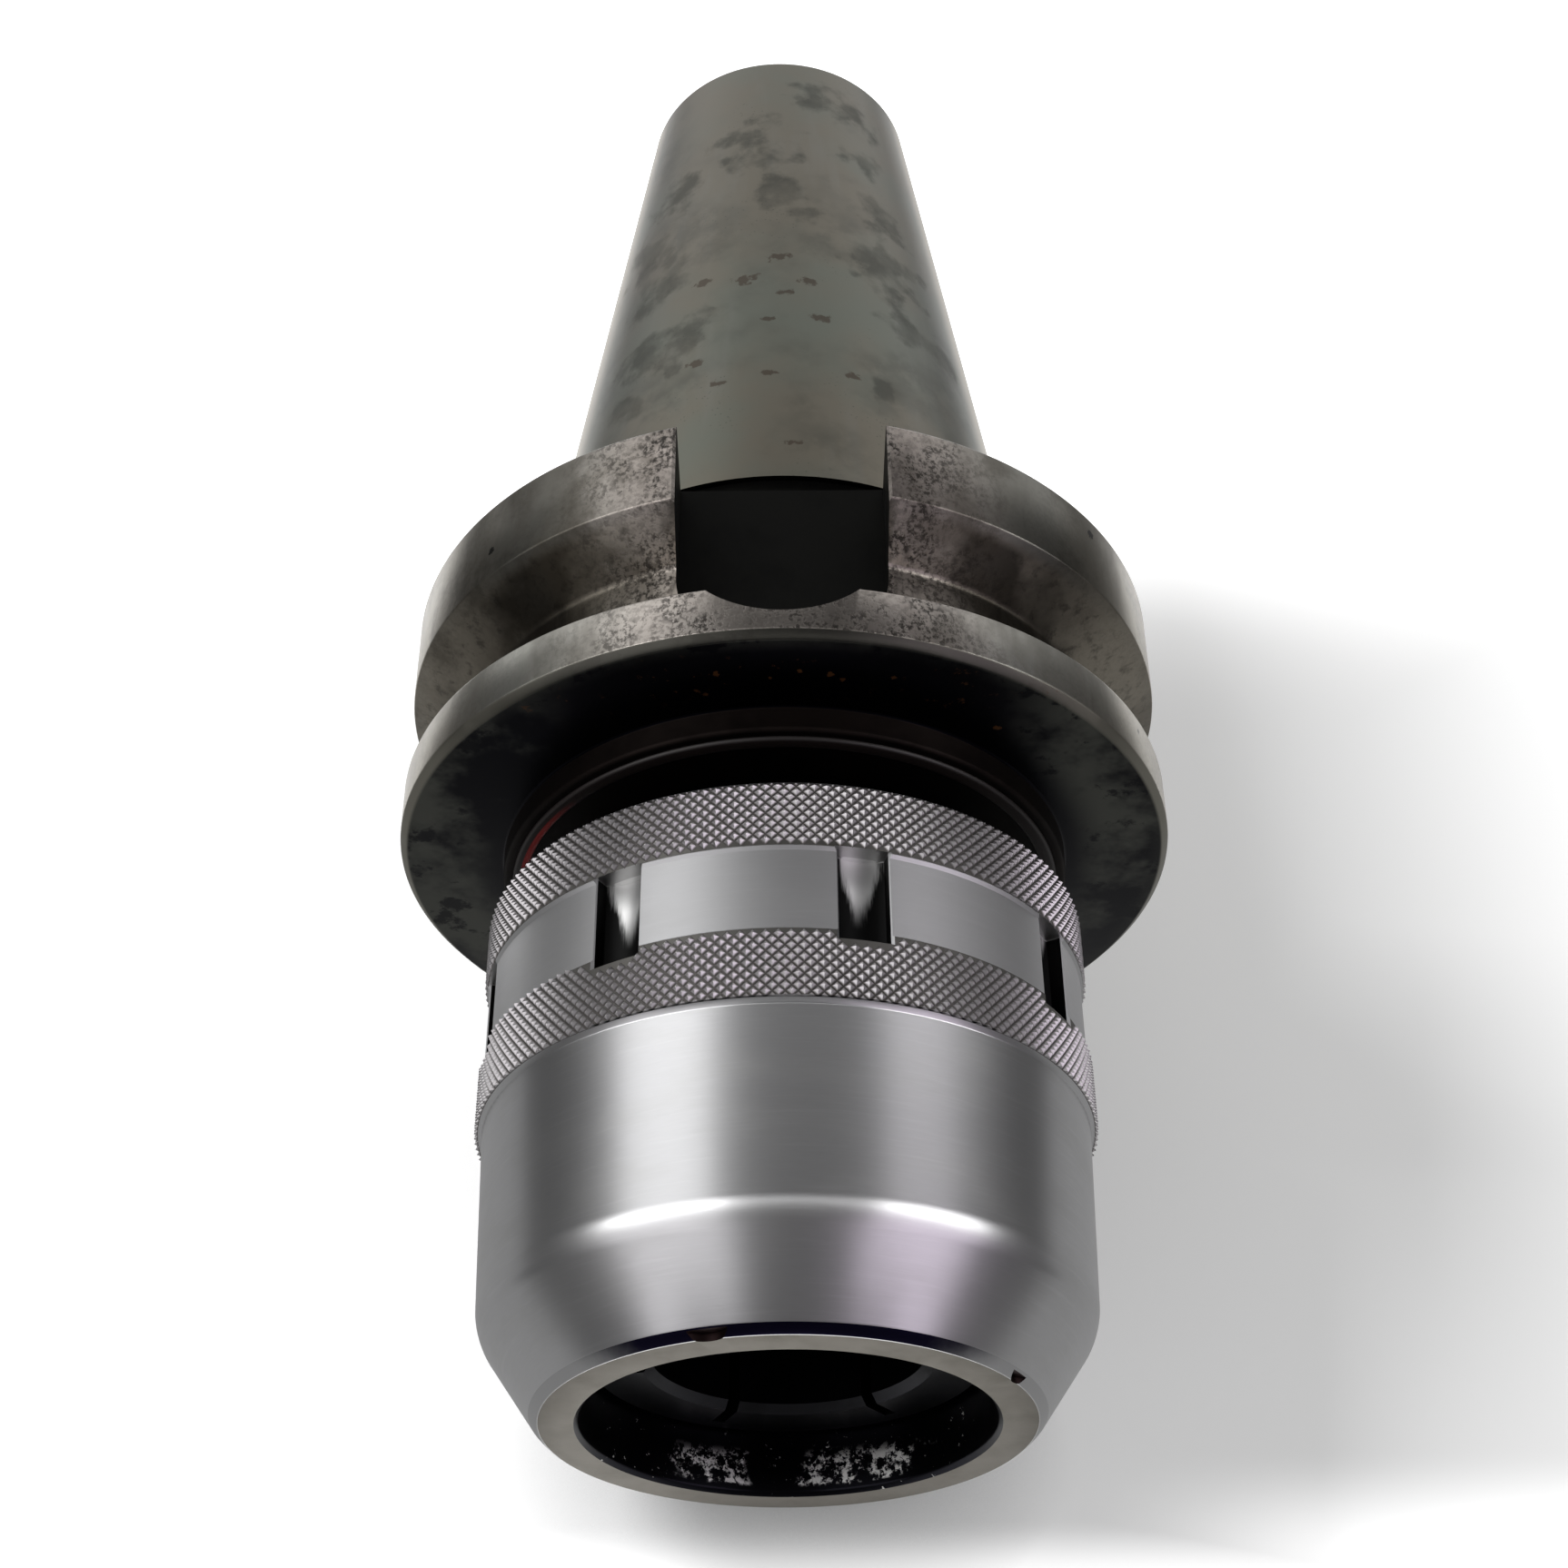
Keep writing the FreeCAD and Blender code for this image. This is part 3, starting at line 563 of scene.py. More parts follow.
def underside_finish():
    """Underside of the flange: black and oily, rubbed grey at both sides, with a painted grey sheen and a
    painted beige reflection on the outer rim toward the sides, and rust specks.
    """
    black, grey, rust = (0.004, 0.004, 0.006), (0.090, 0.092, 0.080), (0.13, 0.055, 0.020)
    made = Finish("underside_oily", black, 0.3)
    side = made.step(made.calculate("ABSOLUTE", made.x), 24 * MM, 38 * MM)
    outer = made.step(made.radius, 37 * MM, 43 * MM)
    # painted sheen: a grey rim on the outer chamfer toward the sides, joined to the rubbed grey
    rim = made.times(made.step(made.radius, 46.5 * MM, 49.5 * MM), made.span(side, 0.35, 1.0))
    worn = made.step(made.noise(60.0, 5.0, 0.6), 0.36, 0.56)
    rubbed_and_sheen = made.times(made.times(side, outer), worn)
    rubbed_and_sheen = made.larger(rubbed_and_sheen, made.times(rim, made.span(worn, 0.2, 0.8)))
    tint = made.mix(made.times(rubbed_and_sheen, 0.9), black, grey)
    stains = made.step(made.noise(170.0, 5.0, 0.65), 0.54, 0.62)
    tint = made.mix(made.times(stains, 0.85), tint, black)
    crumbs = made.step(made.noise(620.0, 4.0, 0.7), 0.60, 0.68)
    front = made.times(made.step(made.y, -34 * MM, -39 * MM), made.step(made.y, -47 * MM, -43 * MM))
    ragged = made.times(crumbs, made.step(made.noise(80.0), 0.45, 0.56))
    specks = made.times(ragged, front)
    marks = [((x, y, FLANGE_BOTTOM), size) for x, y, size in UNDERSIDE_SPECKS]
    specks = made.larger(specks, made.blots(marks, made.noise(1500.0, 4.0, 0.6)))
    # painted reflection: a beige line along the outer edge toward the sides
    edge = made.times(made.step(made.radius, 48.8 * MM, 49.3 * MM), made.span(side, 0.25, 1.0))
    tint = made.mix(edge, tint, (0.26, 0.25, 0.21))
    made.colour(made.mix(made.times(specks, 0.75), tint, rust))
    made.roughness(made.span(made.larger(rubbed_and_sheen, specks), 0.29, 0.45))
    made.bump(made.turning(), 0.003)
    return made.material


def plain_steel(name, colour, dark, roughness, fineness=4000.0, depth=0.003):
    """Turned steel with a little uneven tone and fine lines round the axis."""
    made = Finish(name, colour, roughness)
    cloud = made.step(made.noise(120.0, 5.0, 0.6), 0.45, 0.72)
    made.colour(made.mix(made.times(cloud, 0.6), colour, dark))
    made.roughness(made.span(made.noise(300.0), roughness * 0.85, roughness * 1.2))
    made.bump(made.turning(fineness), depth)
    return made.material


def nut_finish():
    """Satin nut: fine lines round the axis and faint scuffs, darker and duller on the slotted band."""
    bright, soft = (0.64, 0.64, 0.65), (0.53, 0.53, 0.535)
    made = Finish("nut_satin", bright, 0.28)
    lines = made.turning()
    clouds = made.step(made.noise(1.0, 4.0, 0.6, made.stretch((60.0, 60.0, 160.0))), 0.42, 0.70)
    streaks = made.noise(1.0, 3.0, 0.6, made.stretch((90.0, 90.0, 2200.0)))
    tint = made.mix(made.times(lines, 0.4), bright, soft)
    tint = made.mix(made.times(clouds, 0.25), tint, (0.49, 0.49, 0.475))
    tint = made.mix(made.times(made.step(streaks, 0.52, 0.72), 0.25), tint, (0.72, 0.72, 0.73))
    band = made.step(made.z, KNURL_START * MM, BAND_START * MM)
    made.colour(made.mix(made.times(band, 0.40), tint, (0.45, 0.45, 0.455)))
    made.roughness(made.sum(made.span(clouds, 0.285, 0.31), made.times(band, 0.15)))
    made.bump(lines, 0.0035)
    return made.material


def edge_finish():
    """Narrow break round the end face: a painted dark blue reflection at the front, satin elsewhere."""
    painted_dark_blue, satin = (0.012, 0.010, 0.030), (0.50, 0.50, 0.505)
    made = Finish("edge_painted_dark_front", satin, 0.32)
    # painted reflection: the front of the break is darkened, as if mirroring the dark below
    front = made.step(made.sum(made.y, made.times(made.noise(200.0), 0.004)), -16 * MM, -23 * MM)
    made.colour(made.mix(front, satin, painted_dark_blue))
    return made.material


def slot_finish():
    """Spanner slots: black as painted shade and oil; the dished floor rubbed bright and given a painted
    highlight in a funnel that widens upwards, and a painted highlight on the upper end wall.
    """
    # black stands for oil and painted shade in the deep slots
    black, bright = (0.012, 0.012, 0.012), (0.95, 0.95, 0.94)
    made = Finish("slot_shade_highlight_and_wear", black, 0.3)
    turned = made.calculate("ARCTAN2", made.x, made.times(made.y, -1.0))
    steps = made.times(made.sum(turned, math.radians(180 / SLOT_COUNT - SLOT_ANGLE + 360)),
                       SLOT_COUNT / (2 * math.pi))
    part = made.sum(made.calculate("FRACT", steps), -0.5)
    across = made.times(made.calculate("ABSOLUTE", part), 2 * math.pi / SLOT_COUNT * SLOT_FLOOR)
    level = made.step(made.z, SLOT_START * MM, SLOT_END * MM)
    reach = made.sum(made.times(made.times(level, level), 2.1), 0.5)
    streaks = made.noise(1.0, 4.0, 0.7, made.stretch((900.0, 900.0, 90.0)))
    ragged = made.sum(across, made.times(made.sum(streaks, -0.5), 3.0))
    funnel = made.step(made.sum(ragged, made.times(reach, -1.0)), 0.4, -0.7)
    # painted highlight with wear: the funnel is brightest from mid height up
    wear_and_light = made.times(made.step(level, 0.15, 0.75), made.span(made.step(level, 0.75, 0.95), 1.0, 0.75))
    floor_edge = BAND_RADIUS - SLOT_SIDE_DEPTH
    on_floor = made.step(made.radius, (floor_edge + 0.15) * MM, (floor_edge - 0.15) * MM)
    rubbed_and_sheen = made.times(made.times(funnel, on_floor), wear_and_light)
    # painted highlight on the upper end wall of each slot
    end = made.step(made.z, (SLOT_END - 0.12) * MM, (SLOT_END - 0.03) * MM)
    made.colour(made.mix(made.larger(rubbed_and_sheen, made.times(end, 0.5)), black, bright))
    made.roughness(made.span(streaks, 0.29, 0.5))
    return made.material


def nose_finish():
    """End face of the nut, dulled to a warm grey."""
    return plain_steel("nose_dulled", (0.18, 0.168, 0.145), (0.125, 0.117, 0.096), 0.55)


def mouth_finish():
    """Inside of the mouth: black and oily with two patches of pale grime at the back."""
    black, grime = (0.010, 0.010, 0.013), (0.85, 0.85, 0.83)
    made = Finish("mouth_black", black, 0.22)
    crumbs = made.step(made.noise(800.0, 5.0, 0.78), 0.50, 0.56)
    stray = made.step(made.noise(900.0, 4.0, 0.75), 0.65, 0.70)
    level = made.times(made.step(made.z, 6.0 * MM, 4.0 * MM), made.step(made.z, 1.0 * MM, 1.6 * MM))
    wander = made.sum(made.x, made.times(made.sum(made.noise(350.0), -0.5), 0.012))
    left = made.times(made.step(wander, -14 * MM, -12 * MM), made.step(wander, -3.5 * MM, -5.5 * MM))
    right = made.times(made.step(wander, 1 * MM, 3 * MM), made.step(wander, 15.5 * MM, 13.5 * MM))
    back = made.step(made.y, 8 * MM, 12 * MM)
    patch = made.times(made.times(made.larger(left, right), level), back)
    near = made.times(made.step(made.z, 9 * MM, 5 * MM), back)
    pale = made.larger(made.times(patch, crumbs), made.times(near, stray))
    made.colour(made.mix(pale, black, grime))
    made.roughness(made.span(pale, 0.29, 0.55))
    made.bump(made.times(crumbs, patch), 0.05)
    return made.material


def knurl_finish():
    """Knurling with bright worn tips and dark dirt between them."""
    bright, dirt = (0.66, 0.64, 0.65), (0.17, 0.16, 0.155)
    made = Finish("knurl_worn", bright, 0.28)
    height = made.step(made.radius, (KNURL_RADIUS + 0.02) * MM, (KNURL_RADIUS + 0.22) * MM)
    made.colour(made.mix(height, dirt, bright))
    made.roughness(made.span(height, 0.5, 0.34))
    return made.material


def seal_finish():
    """Red seal: clean red at the left and at the back; painted shade turns it dark brown round the front
    and right.
    """
    red, shaded_brown = (0.34, 0.010, 0.008), (0.012, 0.006, 0.005)
    made = Finish("seal_red", red, 0.45, metallic=0.0)
    turned = made.calculate("ARCTAN2", made.times(made.x, -1.0), made.times(made.y, -1.0))
    turned = made.sum(turned, made.times(made.sum(made.noise(90.0), -0.5), 0.5))
    # painted shade: only the left and the back keep the clean red, the front and right take the dark brown
    clean = made.times(made.step(turned, 0.75, 1.15), made.step(turned, 1.75, 1.5))
    behind = made.step(made.y, 12 * MM, 24 * MM)
    inner = made.step(made.radius, (SEAL_RADIUS - 0.75) * MM, (SEAL_RADIUS - 0.95) * MM)
    made.colour(made.mix(made.larger(made.times(clean, inner), behind), shaded_brown, red))
    made.bump(made.noise(1500.0), 0.01)
    return made.material


def rubber_finish(name, colour, worn):
    made = Finish(name, colour, 0.5, metallic=0.0)
    made.colour(made.mix(made.step(made.noise(250.0), 0.4, 0.7), colour, worn))
    made.bump(made.noise(1500.0), 0.01)
    return made.material


# pieces

def make_arbor(finishes):
    """Arbor: small end, taper, neck, flange, boss, slit sleeve, bore and pull stud hole."""
    vee_floor = FLANGE_RADIUS - VEE_DEPTH
    vee_half = VEE_WIDTH / 2
    vee_floor_half = vee_half - VEE_DEPTH * math.tan(math.radians(30))
    race_end = CAGE_END + 1.1
    outside = [
        (BORE_RADIUS + BORE_BREAK, SLEEVE_FRONT),
        (SLEEVE_RADIUS - SLEEVE_EDGE_BREAK, SLEEVE_FRONT),
        (SLEEVE_RADIUS, SLEEVE_FRONT + SLEEVE_EDGE_BREAK),
        (SLEEVE_RADIUS, STOP_START),
        (SLEEVE_RADIUS - STOP_RING_BITE, STOP_START),
        (SLEEVE_RADIUS - STOP_RING_BITE, STOP_END),
        (SLEEVE_RADIUS, STOP_END),
        (SLEEVE_RADIUS, CAGE_START),
        (RACE_RADIUS, CAGE_START),
        (RACE_RADIUS + (race_end - CAGE_START) * RACE_RATE, race_end),
        (SLEEVE_NECK, race_end),
        (SLEEVE_NECK, BOSS_BOTTOM),
        (SEAL_RADIUS - SEAL_WIDTH, BOSS_BOTTOM),
        (SEAL_RADIUS - SEAL_WIDTH, SEAL_BACK),
        (SEAL_RADIUS, SEAL_BACK),
        (SEAL_RADIUS, BOSS_BOTTOM),
        (BOSS_RADIUS, BOSS_BOTTOM),
        (BOSS_RADIUS, FLANGE_BOTTOM),
        (FLANGE_RADIUS - FLANGE_BOTTOM_BREAK, FLANGE_BOTTOM),
        (FLANGE_RADIUS, FLANGE_BOTTOM + FLANGE_BOTTOM_BREAK),
        (FLANGE_RADIUS, VEE_MIDDLE - vee_half),
        (vee_floor, VEE_MIDDLE - vee_floor_half),
        (vee_floor, VEE_MIDDLE + vee_floor_half),
        (FLANGE_RADIUS, VEE_MIDDLE + vee_half),
        (FLANGE_RADIUS, FLANGE_TOP - FLANGE_TOP_BREAK),
        (FLANGE_RADIUS - FLANGE_TOP_BREAK, FLANGE_TOP),
        (NECK_RADIUS, FLANGE_TOP),
        (NECK_RADIUS, GAUGE),
        (GAUGE_RADIUS, GAUGE),
        (TAPER_END_RADIUS + TAPER_END_BREAK * TAPER_RATE, TAPER_TOP - TAPER_END_BREAK),
        (TAPER_END_RADIUS - TAPER_END_BREAK, TAPER_TOP),
    ]
    inside = [
        (PILOT_RADIUS + PILOT_BREAK, TAPER_TOP),
        (PILOT_RADIUS, TAPER_TOP - PILOT_BREAK),
        (PILOT_RADIUS, TAPER_TOP - PILOT_DEPTH),
        (THREAD_RADIUS, TAPER_TOP - PILOT_DEPTH),
        (THREAD_RADIUS, TAP_END),
        (PASSAGE_RADIUS, TAP_END - DRILL_TIP_LENGTH),
        (PASSAGE_RADIUS, BORE_END),
        (BORE_RADIUS, BORE_END),
        (BORE_RADIUS, SLEEVE_FRONT + BORE_BREAK),
    ]
    corners = outside + inside
    rounds = [
        ((BOSS_RADIUS, BOSS_BOTTOM), 0.6, 5),
        ((BOSS_RADIUS, FLANGE_BOTTOM), 0.4, 3),
        ((SLEEVE_NECK, BOSS_BOTTOM), 2.0, 5),
        ((FLANGE_RADIUS, VEE_MIDDLE - vee_half), 0.2, 2),
        ((FLANGE_RADIUS, VEE_MIDDLE + vee_half), 0.2, 2),
        ((vee_floor, VEE_MIDDLE - vee_floor_half), 0.6, 3),
        ((vee_floor, VEE_MIDDLE + vee_floor_half), 0.6, 3),
        ((FLANGE_RADIUS - FLANGE_BOTTOM_BREAK, FLANGE_BOTTOM), 0.2, 2),
        ((FLANGE_RADIUS, FLANGE_BOTTOM + FLANGE_BOTTOM_BREAK), 0.2, 2),
        ((FLANGE_RADIUS, FLANGE_TOP - FLANGE_TOP_BREAK), 0.2, 2),
        ((FLANGE_RADIUS - FLANGE_TOP_BREAK, FLANGE_TOP), 0.2, 2),
        ((TAPER_END_RADIUS + TAPER_END_BREAK * TAPER_RATE, TAPER_TOP - TAPER_END_BREAK), 0.5, 3),
        ((TAPER_END_RADIUS - TAPER_END_BREAK, TAPER_TOP), 0.4, 3),
    ]
    arbor = spin_round(draw_line("arbor_dressed", corners, rounds))
    for side in (0, 180):
        cut(arbor, key_slot_cutter(side))
    cut(arbor, slit_cutter())
    smooth(arbor)
    dress_faces(arbor, finishes, arbor_rule)
    return arbor


def key_slot_cutter(side):
    """U-shaped cutter with upright sides, flared where they leave the flange."""
    half = KEY_WIDTH / 2
    rim = math.sqrt(FLANGE_RADIUS ** 2 - half ** 2)
    past = FLANGE_RADIUS + 5
    flare = past - rim + KEY_EDGE_BREAK
    plan = [
        (-half, KEY_FLOOR), (half, KEY_FLOOR), (half, rim - KEY_EDGE_BREAK),
        (half + flare, past), (-half - flare, past), (-half, rim - KEY_EDGE_BREAK),
    ]
    finish_editing()
    top = GAUGE - 1.5
    bar = draw_line("key_slot_bar", plan, level=KEY_ARC_HEIGHT)
    fill_and_raise(top - KEY_ARC_HEIGHT)
    finish_editing()
    bpy.ops.mesh.primitive_cylinder_add(vertices=96, radius=half * MM, depth=(past - KEY_FLOOR) * MM,
                                        location=(0, -(past + KEY_FLOOR) / 2 * MM, KEY_ARC_HEIGHT * MM),
                                        rotation=(math.radians(90), 0, 0))
    end = bpy.context.object
    bpy.ops.object.transform_apply(location=True, rotation=True, scale=True)
    combine(bar, end, "UNION")
    edit(bar)
    take_all()
    turn_about_axis(side)
    finish_editing()
    return bar


def slit_cutter():
    """Six thin bars that slit the sleeve lengthways from inside."""
    finish_editing()
    reach = SLIT_REACH - BORE_RADIUS / 2
    bpy.ops.mesh.primitive_cube_add(size=1, location=((BORE_RADIUS / 2 + reach / 2) * MM, 0,
                                                      (SLEEVE_FRONT - 2 + SLIT_LENGTH / 2 + 1) * MM),
                                    scale=(reach * MM, SLIT_WIDTH * MM, (SLIT_LENGTH + 2) * MM))
    bpy.ops.object.transform_apply(location=True, rotation=True, scale=True)
    return copies_round(bpy.context.object, SLIT_COUNT, SLIT_ANGLE)


def arbor_rule(place, normal):
    """Name of the finish that a face of the arbor takes."""
    radius = math.hypot(place.x, place.y)
    height = place.z
    # the neck takes the near-black key slot finish: painted shade and black oxide
    if FLANGE_TOP + 0.01 < height < GAUGE + 0.01 and radius < GAUGE_RADIUS - 0.1:
        return "key slot"
    if height > FLANGE_TOP + 0.01:
        return "taper" if radius > PILOT_RADIUS + 0.9 or height > TAPER_TOP - 1.0 else "bore"
    if radius < SLEEVE_NECK + 2.5 or height > FLANGE_TOP - 30 and radius < NECK_RADIUS:
        return "bore"
    if radius < BOSS_RADIUS + 0.1 and height < FLANGE_BOTTOM + 0.3:
        return "boss"
    if height < FLANGE_BOTTOM + 0.95 and normal.z < -0.5:
        return "underside"
    on_floor = abs(abs(place.y) - KEY_FLOOR) < 0.05 and abs(normal.y) > 0.999
    on_wall = abs(abs(place.x) - KEY_WIDTH / 2) < 0.05 and abs(normal.x) > 0.999
    return "key slot" if on_floor or on_wall else "flange"


def make_nut(finishes):
    """Clamping nut: cone nose, ridge, knurl roots, spanner slots, mouth and race."""
    race_rise = (MOUTH_LENGTH - CAGE_START) * RACE_RATE
    corners = [
        (MOUTH_RADIUS + MOUTH_BREAK, 0),
        (NOSE_RADIUS, 0),
        (NOSE_RADIUS + NOSE_BREAK, NOSE_BREAK),
        (NUT_FRONT_RADIUS, CONE_LENGTH),
        (NUT_BODY_RADIUS, KNURL_START),
        (KNURL_RADIUS, FRONT_KNURL[0]),
        (KNURL_RADIUS, FRONT_KNURL[1]),
        (BAND_RADIUS, BAND_START),
        (BAND_RADIUS, BAND_END),
        (KNURL_RADIUS + 0.10, BAND_END + 0.45),
        (KNURL_RADIUS, REAR_KNURL[0]),
        (KNURL_RADIUS, REAR_KNURL[1]),
        (KNURL_RADIUS - REAR_BREAK, NUT_LENGTH),
        (COUNTERBORE_RADIUS, NUT_LENGTH),
        (COUNTERBORE_RADIUS, RETAINER_END),
        (COUNTERBORE_RADIUS + RETAINER_BITE, RETAINER_END),
        (COUNTERBORE_RADIUS + RETAINER_BITE, RETAINER_START),
        (COUNTERBORE_RADIUS, RETAINER_START),
        (COUNTERBORE_RADIUS, COUNTERBORE_FLOOR),
        (NUT_RACE_RADIUS + (COUNTERBORE_FLOOR - CAGE_START) * RACE_RATE, COUNTERBORE_FLOOR),
        (NUT_RACE_RADIUS + race_rise, MOUTH_LENGTH),
        (MOUTH_RADIUS, MOUTH_LENGTH),
        (MOUTH_RADIUS, WIPER_END + RING_PLAY),
        (MOUTH_RADIUS + WIPER_BITE, WIPER_END + RING_PLAY),
        (MOUTH_RADIUS + WIPER_BITE, WIPER_START - RING_PLAY),
        (MOUTH_RADIUS, WIPER_START - RING_PLAY),
        (MOUTH_RADIUS, MOUTH_BREAK),
    ]
    rounds = [
        ((NOSE_RADIUS, 0), 0.12, 2),
        ((NOSE_RADIUS + NOSE_BREAK, NOSE_BREAK), 0.15, 2),
        ((NUT_FRONT_RADIUS, CONE_LENGTH), 1.8, 10),
        ((NUT_BODY_RADIUS, KNURL_START), 0.1, 2),
        ((KNURL_RADIUS - REAR_BREAK, NUT_LENGTH), 0.15, 2),
        ((KNURL_RADIUS, REAR_KNURL[1]), 0.2, 2),
        ((MOUTH_RADIUS, MOUTH_BREAK), 0.15, 2),
    ]
    nut = spin_round(draw_line("clamping_nut_dressed", corners, rounds), steps=256)
    cut(nut, spanner_slot_cutter())
    for nick in NICKS:
        cut(nut, nick_cutter(*nick))
    smooth(nut)
    dress_faces(nut, finishes, nut_rule)
    return nut


def spanner_slot_cutter():
    """Eight bars with a dished inner face and a small flare at the rim."""
    half = SLOT_WIDTH / 2
    rim = math.sqrt(BAND_RADIUS ** 2 - half ** 2)
    side_floor = rim - SLOT_SIDE_DEPTH
    dish = side_floor - SLOT_FLOOR
    dish_radius = (half ** 2 + dish ** 2) / (2 * dish)
    steps = 12
    plan = []
    for step in range(steps + 1):
        across = half * (1 - 2 * step / steps)
        rise = dish_radius - math.sqrt(dish_radius ** 2 - across ** 2)
        plan.append((across, SLOT_FLOOR + rise))
    past = KNURL_RADIUS + 2
    flare = past - rim + SLOT_EDGE_BREAK
    plan += [(-half, rim - SLOT_EDGE_BREAK), (-half - flare, past),
             (half + flare, past), (half, rim - SLOT_EDGE_BREAK)]
    bar = draw_line("slot_bar", plan, level=SLOT_START)
    fill_and_raise(SLOT_END - SLOT_START)
    finish_editing()
    return copies_round(bar, SLOT_COUNT, SLOT_ANGLE)


def nick_cutter(radius, bite, height, angle):
    """Small upright cylinder that takes a nick out of the rim of the end face."""
    finish_editing()
    turn = math.radians(angle)
    out = NOSE_RADIUS - bite + radius
    bpy.ops.mesh.primitive_cylinder_add(vertices=32, radius=radius * MM, depth=2 * height * MM,
                                        location=(out * math.sin(turn) * MM, -out * math.cos(turn) * MM, 0))
    bpy.ops.object.transform_apply(location=True, rotation=True, scale=True)
    return bpy.context.object


def nut_rule(place, normal):
    """Name of the finish that a face of the nut takes."""
    radius = math.hypot(place.x, place.y)
    height = place.z
    if NOSE_RADIUS - 1 < radius < NOSE_RADIUS + 1.1 and 0.01 < height < 0.9 and -0.5 < normal.z < 0.5:
        return "nick"
    if radius < NOSE_RADIUS + 1.1 and height > 0.7 and normal.z < -0.99:
        return "nick"
    if NOSE_RADIUS < radius < NOSE_RADIUS + NOSE_BREAK and height < NOSE_BREAK and -0.9 < normal.z < -0.6:
        return "edge"
    if radius < NOSE_RADIUS + 0.3 and height < 0.01:
        return "nose"
    if radius < NUT_RACE_RADIUS + 3.2 and height > 0.01 and radius < NOSE_RADIUS - 1:
        return "mouth"
    if radius < COUNTERBORE_RADIUS + 1 and height > 15:
        return "mouth"
    knurled = any(low < height < high for low, high in (FRONT_KNURL, REAR_KNURL))
    if radius > KNURL_RADIUS - 0.05 and knurled:
        return "knurl root"
    if SLOT_START - 0.1 < height < SLOT_END + 0.1 and radius < BAND_RADIUS - 0.3:
        return "slot"
    return "satin"


def make_knurl(name, low, high, finish):
    """One band of raised diamonds, from a single diamond copied round and up."""
    finish_editing()
    half_across = math.pi * KNURL_RADIUS / DIAMONDS_AROUND
    half_up = DIAMOND_PITCH / 2
    foot = 0.06
    shoulder = DIAMOND_HEIGHT * 0.8
    bpy.ops.mesh.primitive_cone_add(vertices=4, radius1=1.0, radius2=0.28, depth=1.0,
                                    location=(0, 0, 0), end_fill_type="NGON")
    diamond = bpy.context.object
    diamond.name = name
    bpy.ops.object.mode_set(mode="EDIT")
    pick_points(diamond, lambda place: place.z > 0)
    draw_out((0, 0, 0.18))
    bpy.ops.transform.resize(value=(0.45, 0.45, 1), center_override=(0, 0, 0))
    lay_diamond(half_across, half_up, shoulder, foot, low)
    finish_editing()
    rows = int((high - low) / DIAMOND_PITCH) + 2
    repeat(diamond, (0, 0, DIAMOND_PITCH), rows)
    array_round(diamond, 360 / DIAMONDS_AROUND, DIAMONDS_AROUND)
    choose(diamond)
    bpy.ops.object.duplicate(linked=False)
    second = bpy.context.object
    edit(second)
    take_all()
    turn_about_axis(180 / DIAMONDS_AROUND)
    bpy.ops.transform.translate(value=(0, 0, half_up * MM))
    finish_editing()
    diamond.select_set(True)
    second.select_set(True)
    bpy.context.view_layer.objects.active = diamond
    bpy.ops.object.join()
    edit(diamond)
    for level, outward in ((high, 1), (low, -1)):
        take_all()
        bpy.ops.mesh.bisect(plane_co=(0, 0, level * MM), plane_no=(0, 0, outward),
                            use_fill=True, clear_outer=True)
    pick_points(diamond, in_a_slot)
    bpy.ops.mesh.select_linked()
    bpy.ops.mesh.delete(type="VERT")
    finish_editing()
    diamond.data.materials.append(finish)
    return diamond


def in_a_slot(place):
    """True for a point that lies well within a spanner slot."""
    if not SLOT_START + 0.15 < place.z < SLOT_END - 0.15:
        return False
    angle = math.degrees(math.atan2(place.x, -place.y))
    off = (angle - SLOT_ANGLE + 180 / SLOT_COUNT) % (360 / SLOT_COUNT) - 180 / SLOT_COUNT
    return abs(math.radians(off)) * KNURL_RADIUS < SLOT_WIDTH / 2 - 0.1


def lay_diamond(half_across, half_up, shoulder, foot, low):
    """Bring the cone to size and turn it so that its tip points out at the front."""
    tall = shoulder + foot
    take_all()
    bpy.ops.transform.resize(value=(half_across * MM, half_up * MM, tall * MM), center_override=(0, 0, 0))
    turn_about_axis(90, "X")
    bpy.ops.transform.translate(value=(0, (foot - KNURL_RADIUS - tall / 2) * MM, low * MM))
    bpy.ops.mesh.normals_make_consistent(inside=False)


def repeat(piece, offset, count):
    choose(piece)
    bpy.ops.object.modifier_add(type="ARRAY")
    row = piece.modifiers[-1]
    row.use_relative_offset = False
    row.use_constant_offset = True
    row.constant_offset_displace = Vector(offset) * MM
    row.count = count
    bpy.ops.object.modifier_apply(modifier=row.name)


def array_round(piece, degrees, count):
    """Array about the axis, guided by a turned empty."""
    finish_editing()
    bpy.ops.object.empty_add(rotation=(0, 0, math.radians(degrees)))
    guide = bpy.context.object
    choose(piece)
    bpy.ops.object.modifier_add(type="ARRAY")
    ring = piece.modifiers[-1]
    ring.use_relative_offset = False
    ring.use_object_offset = True
    ring.offset_object = guide
    ring.count = count
    bpy.context.view_layer.update()
    bpy.ops.object.modifier_apply(modifier=ring.name)
    bpy.data.objects.remove(guide)


